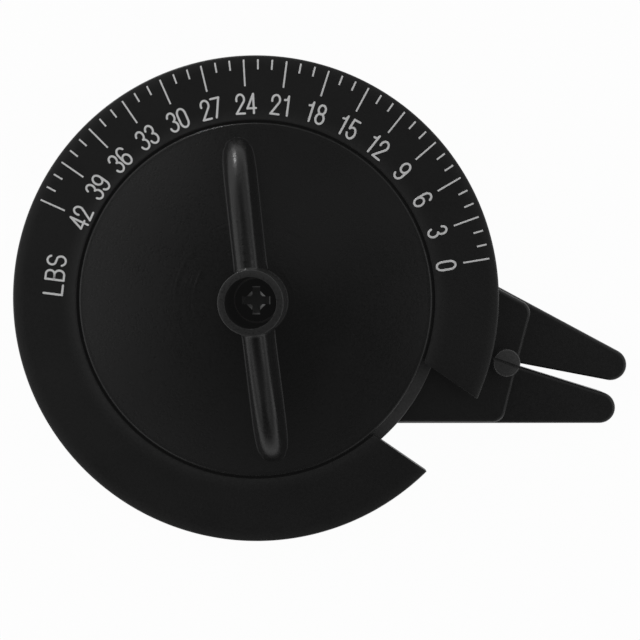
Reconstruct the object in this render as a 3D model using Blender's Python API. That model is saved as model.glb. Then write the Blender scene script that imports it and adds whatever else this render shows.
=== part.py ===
"""String tension calibrator: a spring-loaded dial on a two-pronged frame.

The dial's axis is Z, and the front of the dial faces +Z. The beak with its two prongs points along +X.
The back of the frame lies in the plane Z = 0. Lengths are in metres.
"""
import math

import bmesh
import bpy
from mathutils import Matrix, Vector

MM = 0.001

# Clearances
SEAT_GAP = 0.3 * MM            # between pieces that seat on each other
OVERRUN = 1.0 * MM             # how far a cutter runs past the face it opens
MERGE_DISTANCE = 0.0001 * MM

# Jaw plate, the back of the frame
JAW_THICKNESS = 4.5 * MM
FRAME_WALL = 3.4 * MM          # from the spring's well to the round back of the frame
TIP_RADIUS = 2.1 * MM
SLOT_LENGTH = 12.1 * MM        # from the slot's root to the line through the tips' centres
TIP_SPREAD = 2.98 * MM         # half the distance between the two tips' centres
SLOT_ROOT_RADIUS = 0.19 * MM
SLOT_ROOT_STEP = 0.3 * MM      # from the arm plate's step to the slot's root
JAW_EDGE_RADIUS = 0.4 * MM
WELL_FLOOR = 1.5 * MM          # left under the spring's annular well and the post's flange

# Arm plate, the front of the frame
ARM_THICKNESS = 1.2 * MM
ARM_INSET = 0.3 * MM           # how far its edge lies inside the jaw plate's
ARM_STEP_LENGTH = 2.05 * MM    # from the throat screw's axis to the step across the beak
ARM_CORNER_RADIUS = 1.8 * MM
ARM_EDGE_RADIUS = 0.5 * MM

# Pivot post and its bush
POST_WALL = 0.6 * MM           # round the bore for the centre screw
POST_PROUD = 0.2 * MM          # post above its bush
POST_FLANGE_FLATS = 9.0 * MM
POST_FLANGE_THICKNESS = 1.8 * MM
POST_CHAMFER = 0.2 * MM
POST_BORE_FLOOR = 0.6 * MM     # left under the bore
RUNNING_GAP = 0.3 * MM
BUSH_WALL = 1.55 * MM
BUSH_SINK = 0.2 * MM           # bush above the boss's foot
BUSH_PROUD = 0.3 * MM          # bush below the snout round it
THRUST_WIDTH = 3.0 * MM        # from its bore to its edge
THRUST_THICKNESS = 0.5 * MM

# Centre screw and washer
CENTRE_THREAD_RADIUS = 1.45 * MM
CENTRE_HEAD_RADIUS = 2.8 * MM
CENTRE_HEAD_HEIGHT = 1.9 * MM
CENTRE_CROWN_SHARE = 0.87      # where the head's edge starts to round over
CENTRE_WASHER_ROOM = 0.2 * MM  # between the washer and the hub's hole
CENTRE_WASHER_THICKNESS = 0.4 * MM
RECESS_TIP_RADIUS = 1.83 * MM
RECESS_WING_WIDTH = 1.0 * MM
RECESS_CORNER_REACH = 1.2 * MM  # axis to the slanted facets between the wings
RECESS_ANGLE = math.radians(14.0)
RECESS_FLOOR_SHARE = 0.8       # size of the recess at its floor
RECESS_DEPTH = 1.0 * MM

# Throat screw, the index of the scale
THROAT_RING_GAP = 0.38 * MM    # between its head and the scale ring's edge
THROAT_THREAD_RADIUS = 1.0 * MM
THROAT_HEAD_RADIUS = 1.77 * MM
THROAT_HEAD_HEIGHT = 2.7 * MM
THROAT_HEAD_CHAMFER = 0.15 * MM
THROAT_SLOT_WIDTH = 0.35 * MM
THROAT_SLOT_DEPTH = 0.7 * MM
THROAT_SLOT_ANGLE = math.radians(-5.6)
THROAT_HOLE_FLOOR = 1.0 * MM

# Countersunk screws that hold the arm plate
PLATE_SCREW_STEP = 2.8 * MM    # along X, from the round end's radius
PLATE_SCREW_Y = 5.5 * MM
PLATE_SCREW_THREAD_RADIUS = 0.8 * MM
PLATE_SCREW_HEAD_RADIUS = 1.7 * MM
PLATE_SCREW_HEAD_HEIGHT = 0.8 * MM
PLATE_SCREW_HOLE_FLOOR = 1.5 * MM
PLATE_SCREW_RECESS_RADIUS = 0.9 * MM
PLATE_SCREW_RECESS_DEPTH = 0.4 * MM

# Stop pin and its groove
STOP_PIN_WALL = 0.55 * MM      # between the spring's well and the pin's hole
STOP_PIN_RADIUS = 0.6 * MM
STOP_PIN_ENGAGEMENT = 0.7 * MM
STOP_PIN_SEAT = 2.2 * MM       # pin's depth in the jaw plate
STOP_PIN_ANGLE = math.radians(90.0)
DIAL_TRAVEL = math.radians(172.0)

# Torsion spring
WIRE_RADIUS = 0.6 * MM
COIL_RADIUS = 11.6 * MM
COIL_LEAST_GAP = 0.25 * MM     # between one turn and the next
COIL_INNER_ROOM = 1.4 * MM     # to the wall inside the coil, which the coil nears as it winds up
COIL_OUTER_ROOM = 1.1 * MM
COIL_TOP_ROOM = 0.7 * MM       # to the knob
LEG_BEND_RADIUS = 1.5 * MM
LOWER_LEG_ANGLE = math.radians(180.0)
LOWER_LEG_WALL = 1.3 * MM      # between the lower leg's slot and the back of the frame
UPPER_LEG_GRIP = 3.2 * MM      # length of the upper leg in the carrier
LEG_SIDE_GAP = 0.35 * MM
LEG_END_GAP = 0.4 * MM
POINTS_PER_TURN = 20
BEND_POINTS = 5

# Dial carrier
CARRIER_WIDTH = 9.3 * MM       # from its bore to its spigot
CARRIER_LIP = 1.4 * MM         # width of the seat under the scale ring
CARRIER_FLANGE_THICKNESS = 1.2 * MM
CARRIER_SPIGOT_HEIGHT = 1.2 * MM
CARRIER_CHAMFER = 0.3 * MM

# Scale ring
RING_WIDTH = 8.3 * MM          # with the rest, this makes a ring of 63 mm across
KNOB_RING_GAP = 0.3 * MM       # between the knob's rim and the ring's bore
RING_THICKNESS = 1.8 * MM
RING_EDGE_RADIUS = 0.3 * MM
NOTCH_WIDTH = 11.5 * MM
NOTCH_ANGLE = math.radians(-20.5)

# Winged knob
KNOB_RIM_RISE = 0.3 * MM       # rim above the scale ring
KNOB_RIM_RADIUS = 0.4 * MM
CONE_RISE = 2.7 * MM           # from the rim to the foot of the hub
CONE_POWER = 1.25              # 1 is a straight cone, 2 a bowl
SNOUT_WALL = 0.7 * MM          # of the short tube round the bush
HUB_RISE = 11.9 * MM           # hub's top above the scale ring
HUB_HOLE_ROOM = 0.3 * MM       # between the centre screw's head and the hub's hole
HUB_WALL = 1.0 * MM            # at the top
HUB_DRAFT = 0.15 * MM          # how much wider the hub is at its foot
HUB_FOOT_FILLET = 0.4 * MM
HUB_RIM_RADIUS = 0.5 * MM
FIN_END_MARGIN = 1.95 * MM     # from the fins' ends to the knob's rim
FIN_DROP = 0.7 * MM            # ridge below the hub's top, at the axis
FIN_FOOT_RISE = 0.6 * MM       # foot of the fin's curve above the scale ring
FIN_FOOT_HALF_WIDTH = 2.1 * MM
FIN_TOP_HALF_WIDTH = 1.3 * MM
FIN_RIDGE_DEPTH = 1.5 * MM     # from the ridge down to where the flanks become flat
FIN_ROOT_DEPTH = 0.8 * MM      # how far the fins run down into the disc
FIN_ANGLE = math.radians(110.6)

# Screws from the carrier up into the fins
KNOB_SCREW_THREAD_RADIUS = 0.8 * MM
KNOB_SCREW_HEAD_RADIUS = 1.6 * MM
KNOB_SCREW_HEAD_HEIGHT = 0.7 * MM
KNOB_SCREW_LENGTH = 5.0 * MM
KNOB_SCREW_SINK = 0.2 * MM     # head below the carrier's underside
KNOB_SCREW_END_GAP = 0.5 * MM

# Facets
RING_STEPS = 96
KNOB_STEPS = 64
SMALL_STEPS = 24
ARC_STEP = math.radians(9.0)
FIN_LENGTH_STEPS = 24
FIN_WIDTH_STEPS = 14
FIN_RIDGE_SHARE = 5.0 / 7.0    # share of those steps that goes over the rounded ridge
CONE_STEPS = 6
FILLET_STEPS = 3
SHARP_ANGLE = math.radians(35.0)

# Heights, from the back of the frame to the front of the dial
jaw_top = JAW_THICKNESS
arm_bottom = jaw_top + SEAT_GAP
arm_top = arm_bottom + ARM_THICKNESS
carrier_bottom = arm_top + SEAT_GAP
carrier_shoulder = carrier_bottom + CARRIER_FLANGE_THICKNESS
carrier_top = carrier_shoulder + CARRIER_SPIGOT_HEIGHT
ring_bottom = carrier_shoulder + SEAT_GAP
ring_top = ring_bottom + RING_THICKNESS
knob_bottom = carrier_top + SEAT_GAP
rim_top = ring_top + KNOB_RIM_RISE
hub_top = ring_top + HUB_RISE
fin_foot = ring_top + FIN_FOOT_RISE
flange_bottom = WELL_FLOOR + SEAT_GAP
flange_top = flange_bottom + POST_FLANGE_THICKNESS
post_bore_floor = flange_bottom + POST_BORE_FLOOR
thrust_bottom = jaw_top + SEAT_GAP
thrust_top = thrust_bottom + THRUST_THICKNESS
boss_bottom = thrust_top + SEAT_GAP
bush_bottom = flange_top + SEAT_GAP
bush_top = boss_bottom + BUSH_SINK
bush_ledge = bush_top + SEAT_GAP
snout_bottom = bush_bottom + BUSH_PROUD
post_top = bush_top + POST_PROUD
washer_bottom = post_top + SEAT_GAP
washer_top = washer_bottom + CENTRE_WASHER_THICKNESS
head_bottom = washer_top + SEAT_GAP
head_top = head_bottom + CENTRE_HEAD_HEIGHT
throat_head_bottom = arm_top + SEAT_GAP
lower_leg_height = WELL_FLOOR + LEG_END_GAP + WIRE_RADIUS
upper_leg_height = knob_bottom - COIL_TOP_ROOM - WIRE_RADIUS
stop_pin_bottom = jaw_top - STOP_PIN_SEAT
stop_pin_top = carrier_bottom + STOP_PIN_ENGAGEMENT
fin_rise = hub_top - FIN_DROP - fin_foot
knob_screw_seat = carrier_bottom + KNOB_SCREW_SINK + KNOB_SCREW_HEAD_HEIGHT
knob_screw_end = knob_screw_seat + KNOB_SCREW_LENGTH

# Radii and distances from the dial's axis, worked out from the post and the coil outwards
post_bore_radius = CENTRE_THREAD_RADIUS + SEAT_GAP
post_radius = post_bore_radius + POST_WALL
bush_inner_radius = post_radius + RUNNING_GAP
bush_outer_radius = bush_inner_radius + BUSH_WALL
bush_pocket_radius = bush_outer_radius + SEAT_GAP
snout_radius = bush_pocket_radius + SNOUT_WALL
thrust_inner_radius = snout_radius + SEAT_GAP
thrust_outer_radius = thrust_inner_radius + THRUST_WIDTH
snout_room_radius = thrust_inner_radius + SEAT_GAP
well_inner_radius = COIL_RADIUS - WIRE_RADIUS - COIL_INNER_ROOM
well_outer_radius = COIL_RADIUS + WIRE_RADIUS + COIL_OUTER_ROOM
boss_radius = well_inner_radius - SEAT_GAP
back_radius = well_outer_radius + FRAME_WALL
carrier_bore_radius = well_outer_radius + SEAT_GAP
stop_room = STOP_PIN_RADIUS + SEAT_GAP
stop_radius = well_outer_radius + STOP_PIN_WALL + stop_room
lower_leg_reach = back_radius - LOWER_LEG_WALL - LEG_END_GAP
upper_leg_reach = carrier_bore_radius + UPPER_LEG_GRIP
spigot_radius = carrier_bore_radius + CARRIER_WIDTH
ring_bore_radius = spigot_radius + SEAT_GAP
carrier_radius = ring_bore_radius + CARRIER_LIP
knob_radius = ring_bore_radius - KNOB_RING_GAP
fin_reach = knob_radius - FIN_END_MARGIN
knob_screw_reach = (stop_radius + stop_room + fin_reach) / 2.0
hub_hole_radius = CENTRE_HEAD_RADIUS + HUB_HOLE_ROOM
hub_top_radius = hub_hole_radius + HUB_WALL
hub_foot_radius = hub_top_radius + HUB_DRAFT
washer_radius = hub_hole_radius - CENTRE_WASHER_ROOM
ring_radius = ring_bore_radius + RING_WIDTH
throat_reach = ring_radius + THROAT_RING_GAP + THROAT_HEAD_RADIUS
arm_step_reach = throat_reach + ARM_STEP_LENGTH
slot_root_reach = arm_step_reach + SLOT_ROOT_STEP
tip_reach = slot_root_reach + SLOT_LENGTH


def clear_scene():
    """Remove every object, so that the script can be run again."""
    for thing in list(bpy.data.objects):
        bpy.data.objects.remove(thing, do_unlink=True)


def make_material(name, colour, roughness, metallic):
    """A plain Principled material."""
    material = bpy.data.materials.new(name)
    material.use_nodes = True
    shader = material.node_tree.nodes["Principled BSDF"]
    shader.inputs["Base Color"].default_value = (*colour, 1.0)
    shader.inputs["Roughness"].default_value = roughness
    shader.inputs["Metallic"].default_value = metallic
    return material


def add_object(name, bm, material=None):
    """Turn a bmesh into a named object with outward faces."""
    bm.normal_update()
    bmesh.ops.recalc_face_normals(bm, faces=bm.faces)
    mesh = bpy.data.meshes.new(name)
    bm.to_mesh(mesh)
    bm.free()
    mesh.shade_smooth()
    mesh.set_sharp_from_angle(angle=SHARP_ANGLE)
    thing = bpy.data.objects.new(name, mesh)
    bpy.context.scene.collection.objects.link(thing)
    if material:
        mesh.materials.append(material)
    return thing


def boolean(thing, other, operation):
    """Add a Boolean, and hide the other object from the build."""
    other.hide_render = True
    other.display_type = "WIRE"
    modifier = thing.modifiers.new(other.name, "BOOLEAN")
    modifier.object = other
    modifier.operation = operation
    modifier.solver = "EXACT"


def cut(thing, name, bm, place=Matrix.Identity(4)):
    """Cut a shape out of an object."""
    bm.transform(place)
    boolean(thing, add_object(name, bm), "DIFFERENCE")


def turned(profile, steps, sweep=math.tau):
    """Turn a profile of (radius, height) points about Z.

    A profile that starts and ends on the axis makes a solid without a bore. Any other one is closed
    from its last point to its first.
    """
    bm = bmesh.new()
    verts = [bm.verts.new((radius, 0.0, height)) for radius, height in profile]
    edges = [bm.edges.new(pair) for pair in zip(verts, verts[1:])]
    whole = sweep >= math.tau
    if profile[0][0] > 0.0:
        edges.append(bm.edges.new((verts[-1], verts[0])))
    geometry = verts + edges
    if not whole:
        geometry = geometry + [bm.faces.new(verts)]
    bmesh.ops.spin(bm, geom=geometry, cent=(0.0, 0.0, 0.0), axis=(0.0, 0.0, 1.0), dvec=(0.0, 0.0, 0.0),
                   angle=sweep, steps=steps, use_merge=whole, use_duplicate=False)
    bmesh.ops.remove_doubles(bm, verts=bm.verts, dist=MERGE_DISTANCE)
    return bm


def drum(radius, bottom, top, steps=SMALL_STEPS):
    """A plain round bar on the Z axis."""
    return turned([(0.0, bottom), (radius, bottom), (radius, top), (0.0, top)], steps)


def tube(inner, outer, bottom, top, steps):
    """A plain ring on the Z axis."""
    return turned([(inner, bottom), (outer, bottom), (outer, top), (inner, top)], steps)


def hexagon(flats, bottom, top):
    """A hexagonal bar, measured across its flats."""
    corners = [polar(flats / math.sqrt(3.0), math.tau * side / 6.0) for side in range(6)]
    return extruded(corners, bottom, top)


def box(low, high):
    """A box between two corners."""
    corners = [(low[0], low[1]), (high[0], low[1]), (high[0], high[1]), (low[0], high[1])]
    return extruded(corners, low[2], high[2])


def extruded(outline, bottom, top):
    """Extrude a closed outline of (x, y) points from one height to another."""
    bm = bmesh.new()
    face = bm.faces.new([bm.verts.new((x, y, bottom)) for x, y in outline])
    moved = bmesh.ops.extrude_face_region(bm, geom=[face])["geom"]
    risen = [part for part in moved if isinstance(part, bmesh.types.BMVert)]
    bmesh.ops.translate(bm, verts=risen, vec=(0.0, 0.0, top - bottom))
    bmesh.ops.recalc_face_normals(bm, faces=bm.faces)
    return bm


def round_rims(bm, radius):
    """Round the edges between the flat faces and the sides of an extruded plate."""
    def is_flat(face):
        return abs(face.normal.z) > 0.5

    bm.normal_update()
    rims = [edge for edge in bm.edges if is_flat(edge.link_faces[0]) != is_flat(edge.link_faces[1])]
    bmesh.ops.bevel(bm, geom=rims, offset=radius, offset_type="OFFSET", segments=2, profile=0.5,
                    affect="EDGES")


def polar(radius, angle):
    """A point of the dial's plane."""
    return radius * math.cos(angle), radius * math.sin(angle)


def arc(centre, radius, start, end, step=ARC_STEP):
    """Points along an arc, both ends included."""
    count = max(2, math.ceil(abs(end - start) / step))
    points = []
    for index in range(count + 1):
        x, y = polar(radius, start + (end - start) * index / count)
        points.append((centre[0] + x, centre[1] + y))
    return points


def flank_slope():
    """Angle between the beak's outer edge and its centre line."""
    lean = math.atan2(TIP_SPREAD, tip_reach)
    return math.asin((back_radius - TIP_RADIUS) / math.hypot(tip_reach, TIP_SPREAD)) - lean


def slot_slope():
    """Angle between an edge of the string slot and its centre line."""
    lean = math.atan2(TIP_SPREAD, SLOT_LENGTH)
    return lean - math.asin((TIP_RADIUS + SLOT_ROOT_RADIUS) / math.hypot(SLOT_LENGTH, TIP_SPREAD))


def jaw_outline():
    """Round back, straight flanks tangent to it, two round prong tips and the string slot."""
    quarter = math.pi / 2.0
    outer = quarter - flank_slope()
    inner = quarter - slot_slope()
    root = quarter + slot_slope()
    points = arc((0.0, 0.0), back_radius, outer, math.tau - outer)
    points += arc((tip_reach, -TIP_SPREAD), TIP_RADIUS, -outer, inner, 2.0 * ARC_STEP)
    points += arc((slot_root_reach, 0.0), SLOT_ROOT_RADIUS, math.tau - root, root, 5.0 * ARC_STEP)
    points += arc((tip_reach, TIP_SPREAD), TIP_RADIUS, -inner, outer, 2.0 * ARC_STEP)
    return points


def arm_outline():
    """The jaw plate's outline drawn in a little, and cut off square before the prongs."""
    slope = flank_slope()
    radius = back_radius - ARM_INSET
    outer = math.pi / 2.0 - slope
    centre_x = arm_step_reach - ARM_CORNER_RADIUS
    centre_y = (radius - ARM_CORNER_RADIUS - centre_x * math.sin(slope)) / math.cos(slope)
    points = arc((0.0, 0.0), radius, outer, math.tau - outer)
    points += arc((centre_x, -centre_y), ARM_CORNER_RADIUS, -outer, 0.0, 2.0 * ARC_STEP)
    points += arc((centre_x, centre_y), ARM_CORNER_RADIUS, 0.0, outer, 2.0 * ARC_STEP)
    return points


def at(x, y):
    """A move in the dial's plane."""
    return Matrix.Translation((x, y, 0.0))


def turned_by(angle):
    """A turn about the dial's axis."""
    return Matrix.Rotation(angle, 4, "Z")


def plate_screw_places():
    x = back_radius + PLATE_SCREW_STEP
    return [(x, PLATE_SCREW_Y), (x, -PLATE_SCREW_Y)]


def knob_screw_places():
    return [polar(knob_screw_reach, FIN_ANGLE), polar(knob_screw_reach, FIN_ANGLE + math.pi)]


def make_jaw_plate(material):
    """Back plate with the prongs, the spring's well and the pocket for the post's flange."""
    bm = extruded(jaw_outline(), 0.0, jaw_top)
    round_rims(bm, JAW_EDGE_RADIUS)
    plate = add_object("jaw_plate", bm, material)
    above = jaw_top + OVERRUN
    cut(plate, "cut_well", tube(well_inner_radius, well_outer_radius, WELL_FLOOR, above, KNOB_STEPS))
    pocket_flats = POST_FLANGE_FLATS + 2.0 * SEAT_GAP
    cut(plate, "cut_flange_pocket", hexagon(pocket_flats, WELL_FLOOR, above))
    cut(plate, "cut_snout_room", drum(snout_room_radius, flange_top, above, 2 * SMALL_STEPS))
    leg_half_width = WIRE_RADIUS + LEG_SIDE_GAP
    leg_slot = box((well_outer_radius - OVERRUN, -leg_half_width, WELL_FLOOR),
                   (lower_leg_reach + LEG_END_GAP, leg_half_width, above))
    cut(plate, "cut_lower_leg", leg_slot, turned_by(LOWER_LEG_ANGLE))
    pin_hole = drum(stop_room, stop_pin_bottom - SEAT_GAP, above)
    cut(plate, "cut_stop_pin", pin_hole, at(*polar(stop_radius, STOP_PIN_ANGLE)))
    throat_hole = drum(THROAT_THREAD_RADIUS + SEAT_GAP, THROAT_HOLE_FLOOR, above)
    cut(plate, "cut_throat_screw", throat_hole, at(throat_reach, 0.0))
    for number, place in enumerate(plate_screw_places(), 1):
        hole = drum(PLATE_SCREW_THREAD_RADIUS + SEAT_GAP, PLATE_SCREW_HOLE_FLOOR, above)
        cut(plate, f"cut_jaw_screw_{number}", hole, at(*place))


def make_arm_plate(material):
    """Front plate of the frame, with the opening round the spring."""
    bm = extruded(arm_outline(), arm_bottom, arm_top)
    round_rims(bm, ARM_EDGE_RADIUS)
    plate = add_object("arm_plate", bm, material)
    below = arm_bottom - OVERRUN
    above = arm_top + OVERRUN
    cut(plate, "cut_arm_well", drum(well_outer_radius, below, above, KNOB_STEPS))
    pin_hole = drum(stop_room, below, above)
    cut(plate, "cut_arm_pin", pin_hole, at(*polar(stop_radius, STOP_PIN_ANGLE)))
    throat_hole = drum(THROAT_THREAD_RADIUS + SEAT_GAP, below, above)
    cut(plate, "cut_arm_throat", throat_hole, at(throat_reach, 0.0))
    neck = PLATE_SCREW_THREAD_RADIUS + SEAT_GAP
    mouth = PLATE_SCREW_HEAD_RADIUS + SEAT_GAP
    neck_top = arm_top - PLATE_SCREW_HEAD_HEIGHT - SEAT_GAP
    for number, place in enumerate(plate_screw_places(), 1):
        seat = turned([(0.0, below), (neck, below), (neck, neck_top), (mouth, arm_top), (mouth, above),
                       (0.0, above)], SMALL_STEPS)
        cut(plate, f"cut_arm_screw_{number}", seat, at(*place))


def make_plate_screws(material):
    """Two countersunk screws, their heads flush with the arm plate."""
    neck = arm_top - PLATE_SCREW_HEAD_HEIGHT
    end = PLATE_SCREW_HOLE_FLOOR + SEAT_GAP
    recess_floor = arm_top - PLATE_SCREW_RECESS_DEPTH
    for number, place in enumerate(plate_screw_places(), 1):
        screw = turned([(0.0, end), (PLATE_SCREW_THREAD_RADIUS, end), (PLATE_SCREW_THREAD_RADIUS, neck),
                        (PLATE_SCREW_HEAD_RADIUS, arm_top), (PLATE_SCREW_RECESS_RADIUS, arm_top),
                        (0.0, recess_floor)], SMALL_STEPS)
        screw.transform(at(*place))
        add_object(f"plate_screw_{number}", screw, material)


def make_pivot_post(material):
    """Post with a hexagonal flange, bored from the front for the centre screw."""
    post = add_object("pivot_post", hexagon(POST_FLANGE_FLATS, flange_bottom, flange_top), material)
    root = flange_bottom + POST_FLANGE_THICKNESS / 2.0
    chamfered = post_radius - POST_CHAMFER
    shaft = turned([(0.0, root), (post_radius, root), (post_radius, post_top - POST_CHAMFER),
                    (chamfered, post_top), (0.0, post_top)], SMALL_STEPS)
    boolean(post, add_object("post_shaft", shaft), "UNION")
    cut(post, "cut_post_bore", drum(post_bore_radius, post_bore_floor, post_top + OVERRUN))


def make_stop_pin(material):
    """Dowel that stands up into the carrier's curved groove."""
    rounded = STOP_PIN_RADIUS / 2.0
    pin = turned([(0.0, stop_pin_bottom), (STOP_PIN_RADIUS, stop_pin_bottom),
                  (STOP_PIN_RADIUS, stop_pin_top - rounded), (rounded, stop_pin_top),
                  (0.0, stop_pin_top)], SMALL_STEPS)
    pin.transform(at(*polar(stop_radius, STOP_PIN_ANGLE)))
    add_object("stop_pin", pin, material)


def make_throat_screw(material):
    """Cheese-head screw at the root of the string slot. Its slot is the scale's index."""
    end = THROAT_HOLE_FLOOR + SEAT_GAP
    top = throat_head_bottom + THROAT_HEAD_HEIGHT
    flat = THROAT_HEAD_RADIUS - THROAT_HEAD_CHAMFER
    bm = turned([(0.0, end), (THROAT_THREAD_RADIUS, end), (THROAT_THREAD_RADIUS, throat_head_bottom),
                 (THROAT_HEAD_RADIUS, throat_head_bottom), (THROAT_HEAD_RADIUS, top - THROAT_HEAD_CHAMFER),
                 (flat, top), (0.0, top)], SMALL_STEPS)
    bm.transform(at(throat_reach, 0.0))
    screw = add_object("throat_screw", bm, material)
    reach = THROAT_HEAD_RADIUS + OVERRUN
    half_width = THROAT_SLOT_WIDTH / 2.0
    slot = box((-reach, -half_width, top - THROAT_SLOT_DEPTH), (reach, half_width, top + OVERRUN))
    cut(screw, "cut_throat_slot", slot, at(throat_reach, 0.0) @ turned_by(THROAT_SLOT_ANGLE))


def make_thrust_washer(material):
    """Flat ring that carries the dial on the frame."""
    washer = tube(thrust_inner_radius, thrust_outer_radius, thrust_bottom, thrust_top, KNOB_STEPS)
    add_object("thrust_washer", washer, material)


def make_pivot_bush(material, dial):
    """Bush in the knob's boss that runs on the post."""
    bush = tube(bush_inner_radius, bush_outer_radius, bush_bottom, bush_top, 2 * SMALL_STEPS)
    add_object("pivot_bush", bush, material).parent = dial


def make_centre_washer(material):
    """Washer that holds the dial down on its post."""
    washer = tube(post_bore_radius, washer_radius, washer_bottom, washer_top, 2 * SMALL_STEPS)
    add_object("centre_washer", washer, material)


def cross_outline(share):
    """Outline of a cross recess, one wing after another, at a share of its full size."""
    tip = RECESS_TIP_RADIUS * share
    half = RECESS_WING_WIDTH / 2.0 * share
    shoulder = RECESS_CORNER_REACH * math.sqrt(2.0) * share - half
    outline = []
    for quarter in range(4):
        turn = Matrix.Rotation(quarter * math.pi / 2.0, 2)
        for x, y in [(tip, -half), (tip, half), (shoulder, half), (half, shoulder)]:
            outline.append(tuple(turn @ Vector((x, y))))
    return outline


def make_centre_screw(material):
    """Pan-head screw with a cross recess, at the bottom of the hub's hole."""
    end = post_bore_floor + SEAT_GAP
    edge = head_bottom + CENTRE_HEAD_HEIGHT / 2.0
    crown = CENTRE_HEAD_RADIUS * CENTRE_CROWN_SHARE
    bm = turned([(0.0, end), (CENTRE_THREAD_RADIUS, end), (CENTRE_THREAD_RADIUS, head_bottom),
                 (CENTRE_HEAD_RADIUS, head_bottom), (CENTRE_HEAD_RADIUS, edge),
                 (crown, (edge + head_top) / 2.0), (RECESS_TIP_RADIUS, head_top), (0.0, head_top)],
                2 * SMALL_STEPS)
    screw = add_object("centre_screw", bm, material)
    recess = bmesh.new()
    rings = []
    floor_share = RECESS_FLOOR_SHARE
    mouth_share = 1.0 + (1.0 - floor_share) * OVERRUN / RECESS_DEPTH
    for share, height in [(floor_share, head_top - RECESS_DEPTH), (mouth_share, head_top + OVERRUN)]:
        rings.append([recess.verts.new((x, y, height)) for x, y in cross_outline(share)])
    recess.faces.new(rings[0])
    recess.faces.new(rings[1])
    edges = [recess.edges.get((ring[index - 1], ring[index])) for ring in rings for index in range(len(ring))]
    bmesh.ops.bridge_loops(recess, edges=edges)
    cut(screw, "cut_cross_recess", recess, turned_by(RECESS_ANGLE))


def spring_points():
    """Centre line of the spring: radial leg, bend, coils, bend, radial leg."""
    centre_reach = COIL_RADIUS + LEG_BEND_RADIUS
    bend_start = math.sqrt(centre_reach ** 2 - LEG_BEND_RADIUS ** 2)
    bend_angle = math.asin(LEG_BEND_RADIUS / centre_reach)
    quarter = math.pi / 2.0
    outside = arc((bend_start, LEG_BEND_RADIUS), LEG_BEND_RADIUS, -quarter, -math.pi + bend_angle,
                  quarter / BEND_POINTS)
    part_turn = math.pi - 2.0 * bend_angle
    climb = upper_leg_height - lower_leg_height
    least_pitch = 2.0 * WIRE_RADIUS + COIL_LEAST_GAP
    coil_angle = part_turn + math.tau * math.floor(climb / least_pitch - part_turn / math.tau)
    steps = math.ceil(coil_angle / math.tau * POINTS_PER_TURN)
    points = [(-lower_leg_reach, 0.0, lower_leg_height)]
    points += [(-x, y, lower_leg_height) for x, y in outside[:-1]]
    for step in range(steps + 1):
        share = step / steps
        x, y = polar(COIL_RADIUS, math.pi - bend_angle - coil_angle * share)
        points.append((x, y, lower_leg_height + climb * share))
    points += [(x, y, upper_leg_height) for x, y in reversed(outside[:-1])]
    points.append((upper_leg_reach, 0.0, upper_leg_height))
    return points


def make_torsion_spring(material):
    """Wire spring. Its lower leg stays in the frame, and its upper leg turns with the carrier."""
    points = spring_points()
    curve = bpy.data.curves.new("torsion_spring", "CURVE")
    curve.dimensions = "3D"
    curve.bevel_depth = WIRE_RADIUS
    curve.bevel_resolution = 2
    curve.use_fill_caps = True
    spline = curve.splines.new("POLY")
    spline.points.add(len(points) - 1)
    for spot, place in zip(spline.points, points):
        spot.co = (*place, 1.0)
    curve.materials.append(material)
    spring = bpy.data.objects.new("torsion_spring", curve)
    bpy.context.scene.collection.objects.link(spring)


def make_dial_carrier(material, dial):
    """Flanged disc that carries the scale ring and is screwed to the knob from behind."""
    chamfer = CARRIER_CHAMFER
    bm = turned([(carrier_bore_radius, carrier_bottom), (carrier_radius - chamfer, carrier_bottom),
                 (carrier_radius, carrier_bottom + chamfer), (carrier_radius, carrier_shoulder),
                 (spigot_radius, carrier_shoulder), (spigot_radius, carrier_top),
                 (carrier_bore_radius, carrier_top)],
                KNOB_STEPS)
    carrier = add_object("dial_carrier", bm, material)
    carrier.parent = dial
    below = carrier_bottom - OVERRUN
    above = carrier_top + OVERRUN
    half_width = WIRE_RADIUS + LEG_SIDE_GAP
    leg_slot = box((carrier_bore_radius - OVERRUN, -half_width, below),
                   (upper_leg_reach + LEG_END_GAP, half_width, above))
    cut(carrier, "cut_upper_leg", leg_slot)
    end_room = stop_room / stop_radius
    groove = turned([(carrier_bore_radius - OVERRUN, below), (stop_radius + stop_room, below),
                     (stop_radius + stop_room, stop_pin_top + SEAT_GAP),
                     (carrier_bore_radius - OVERRUN, stop_pin_top + SEAT_GAP)],
                    KNOB_STEPS // 2, DIAL_TRAVEL + 2.0 * end_room)
    cut(carrier, "cut_stop_groove", groove, turned_by(STOP_PIN_ANGLE - end_room))
    seat = knob_screw_seat + SEAT_GAP
    wide = KNOB_SCREW_HEAD_RADIUS + SEAT_GAP
    narrow = KNOB_SCREW_THREAD_RADIUS + SEAT_GAP
    for number, place in enumerate(knob_screw_places(), 1):
        hole = turned([(0.0, below), (wide, below), (wide, seat), (narrow, seat), (narrow, above),
                       (0.0, above)], SMALL_STEPS)
        cut(carrier, f"cut_carrier_screw_{number}", hole, at(*place))


def make_scale_ring(material, dial):
    """Flat ring with a notch of parallel sides cut right through."""
    edge = RING_EDGE_RADIUS
    bm = turned([(ring_bore_radius, ring_bottom), (ring_radius - edge, ring_bottom),
                 (ring_radius, ring_bottom + edge), (ring_radius, ring_top - edge),
                 (ring_radius - edge, ring_top), (ring_bore_radius, ring_top)], RING_STEPS)
    ring = add_object("scale_ring", bm, material)
    ring.parent = dial
    notch = box((ring_bore_radius - NOTCH_WIDTH / 2.0, -NOTCH_WIDTH / 2.0, ring_bottom - OVERRUN),
                (ring_radius + OVERRUN, NOTCH_WIDTH / 2.0, ring_top + OVERRUN))
    cut(ring, "cut_notch", notch, turned_by(NOTCH_ANGLE))


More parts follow.
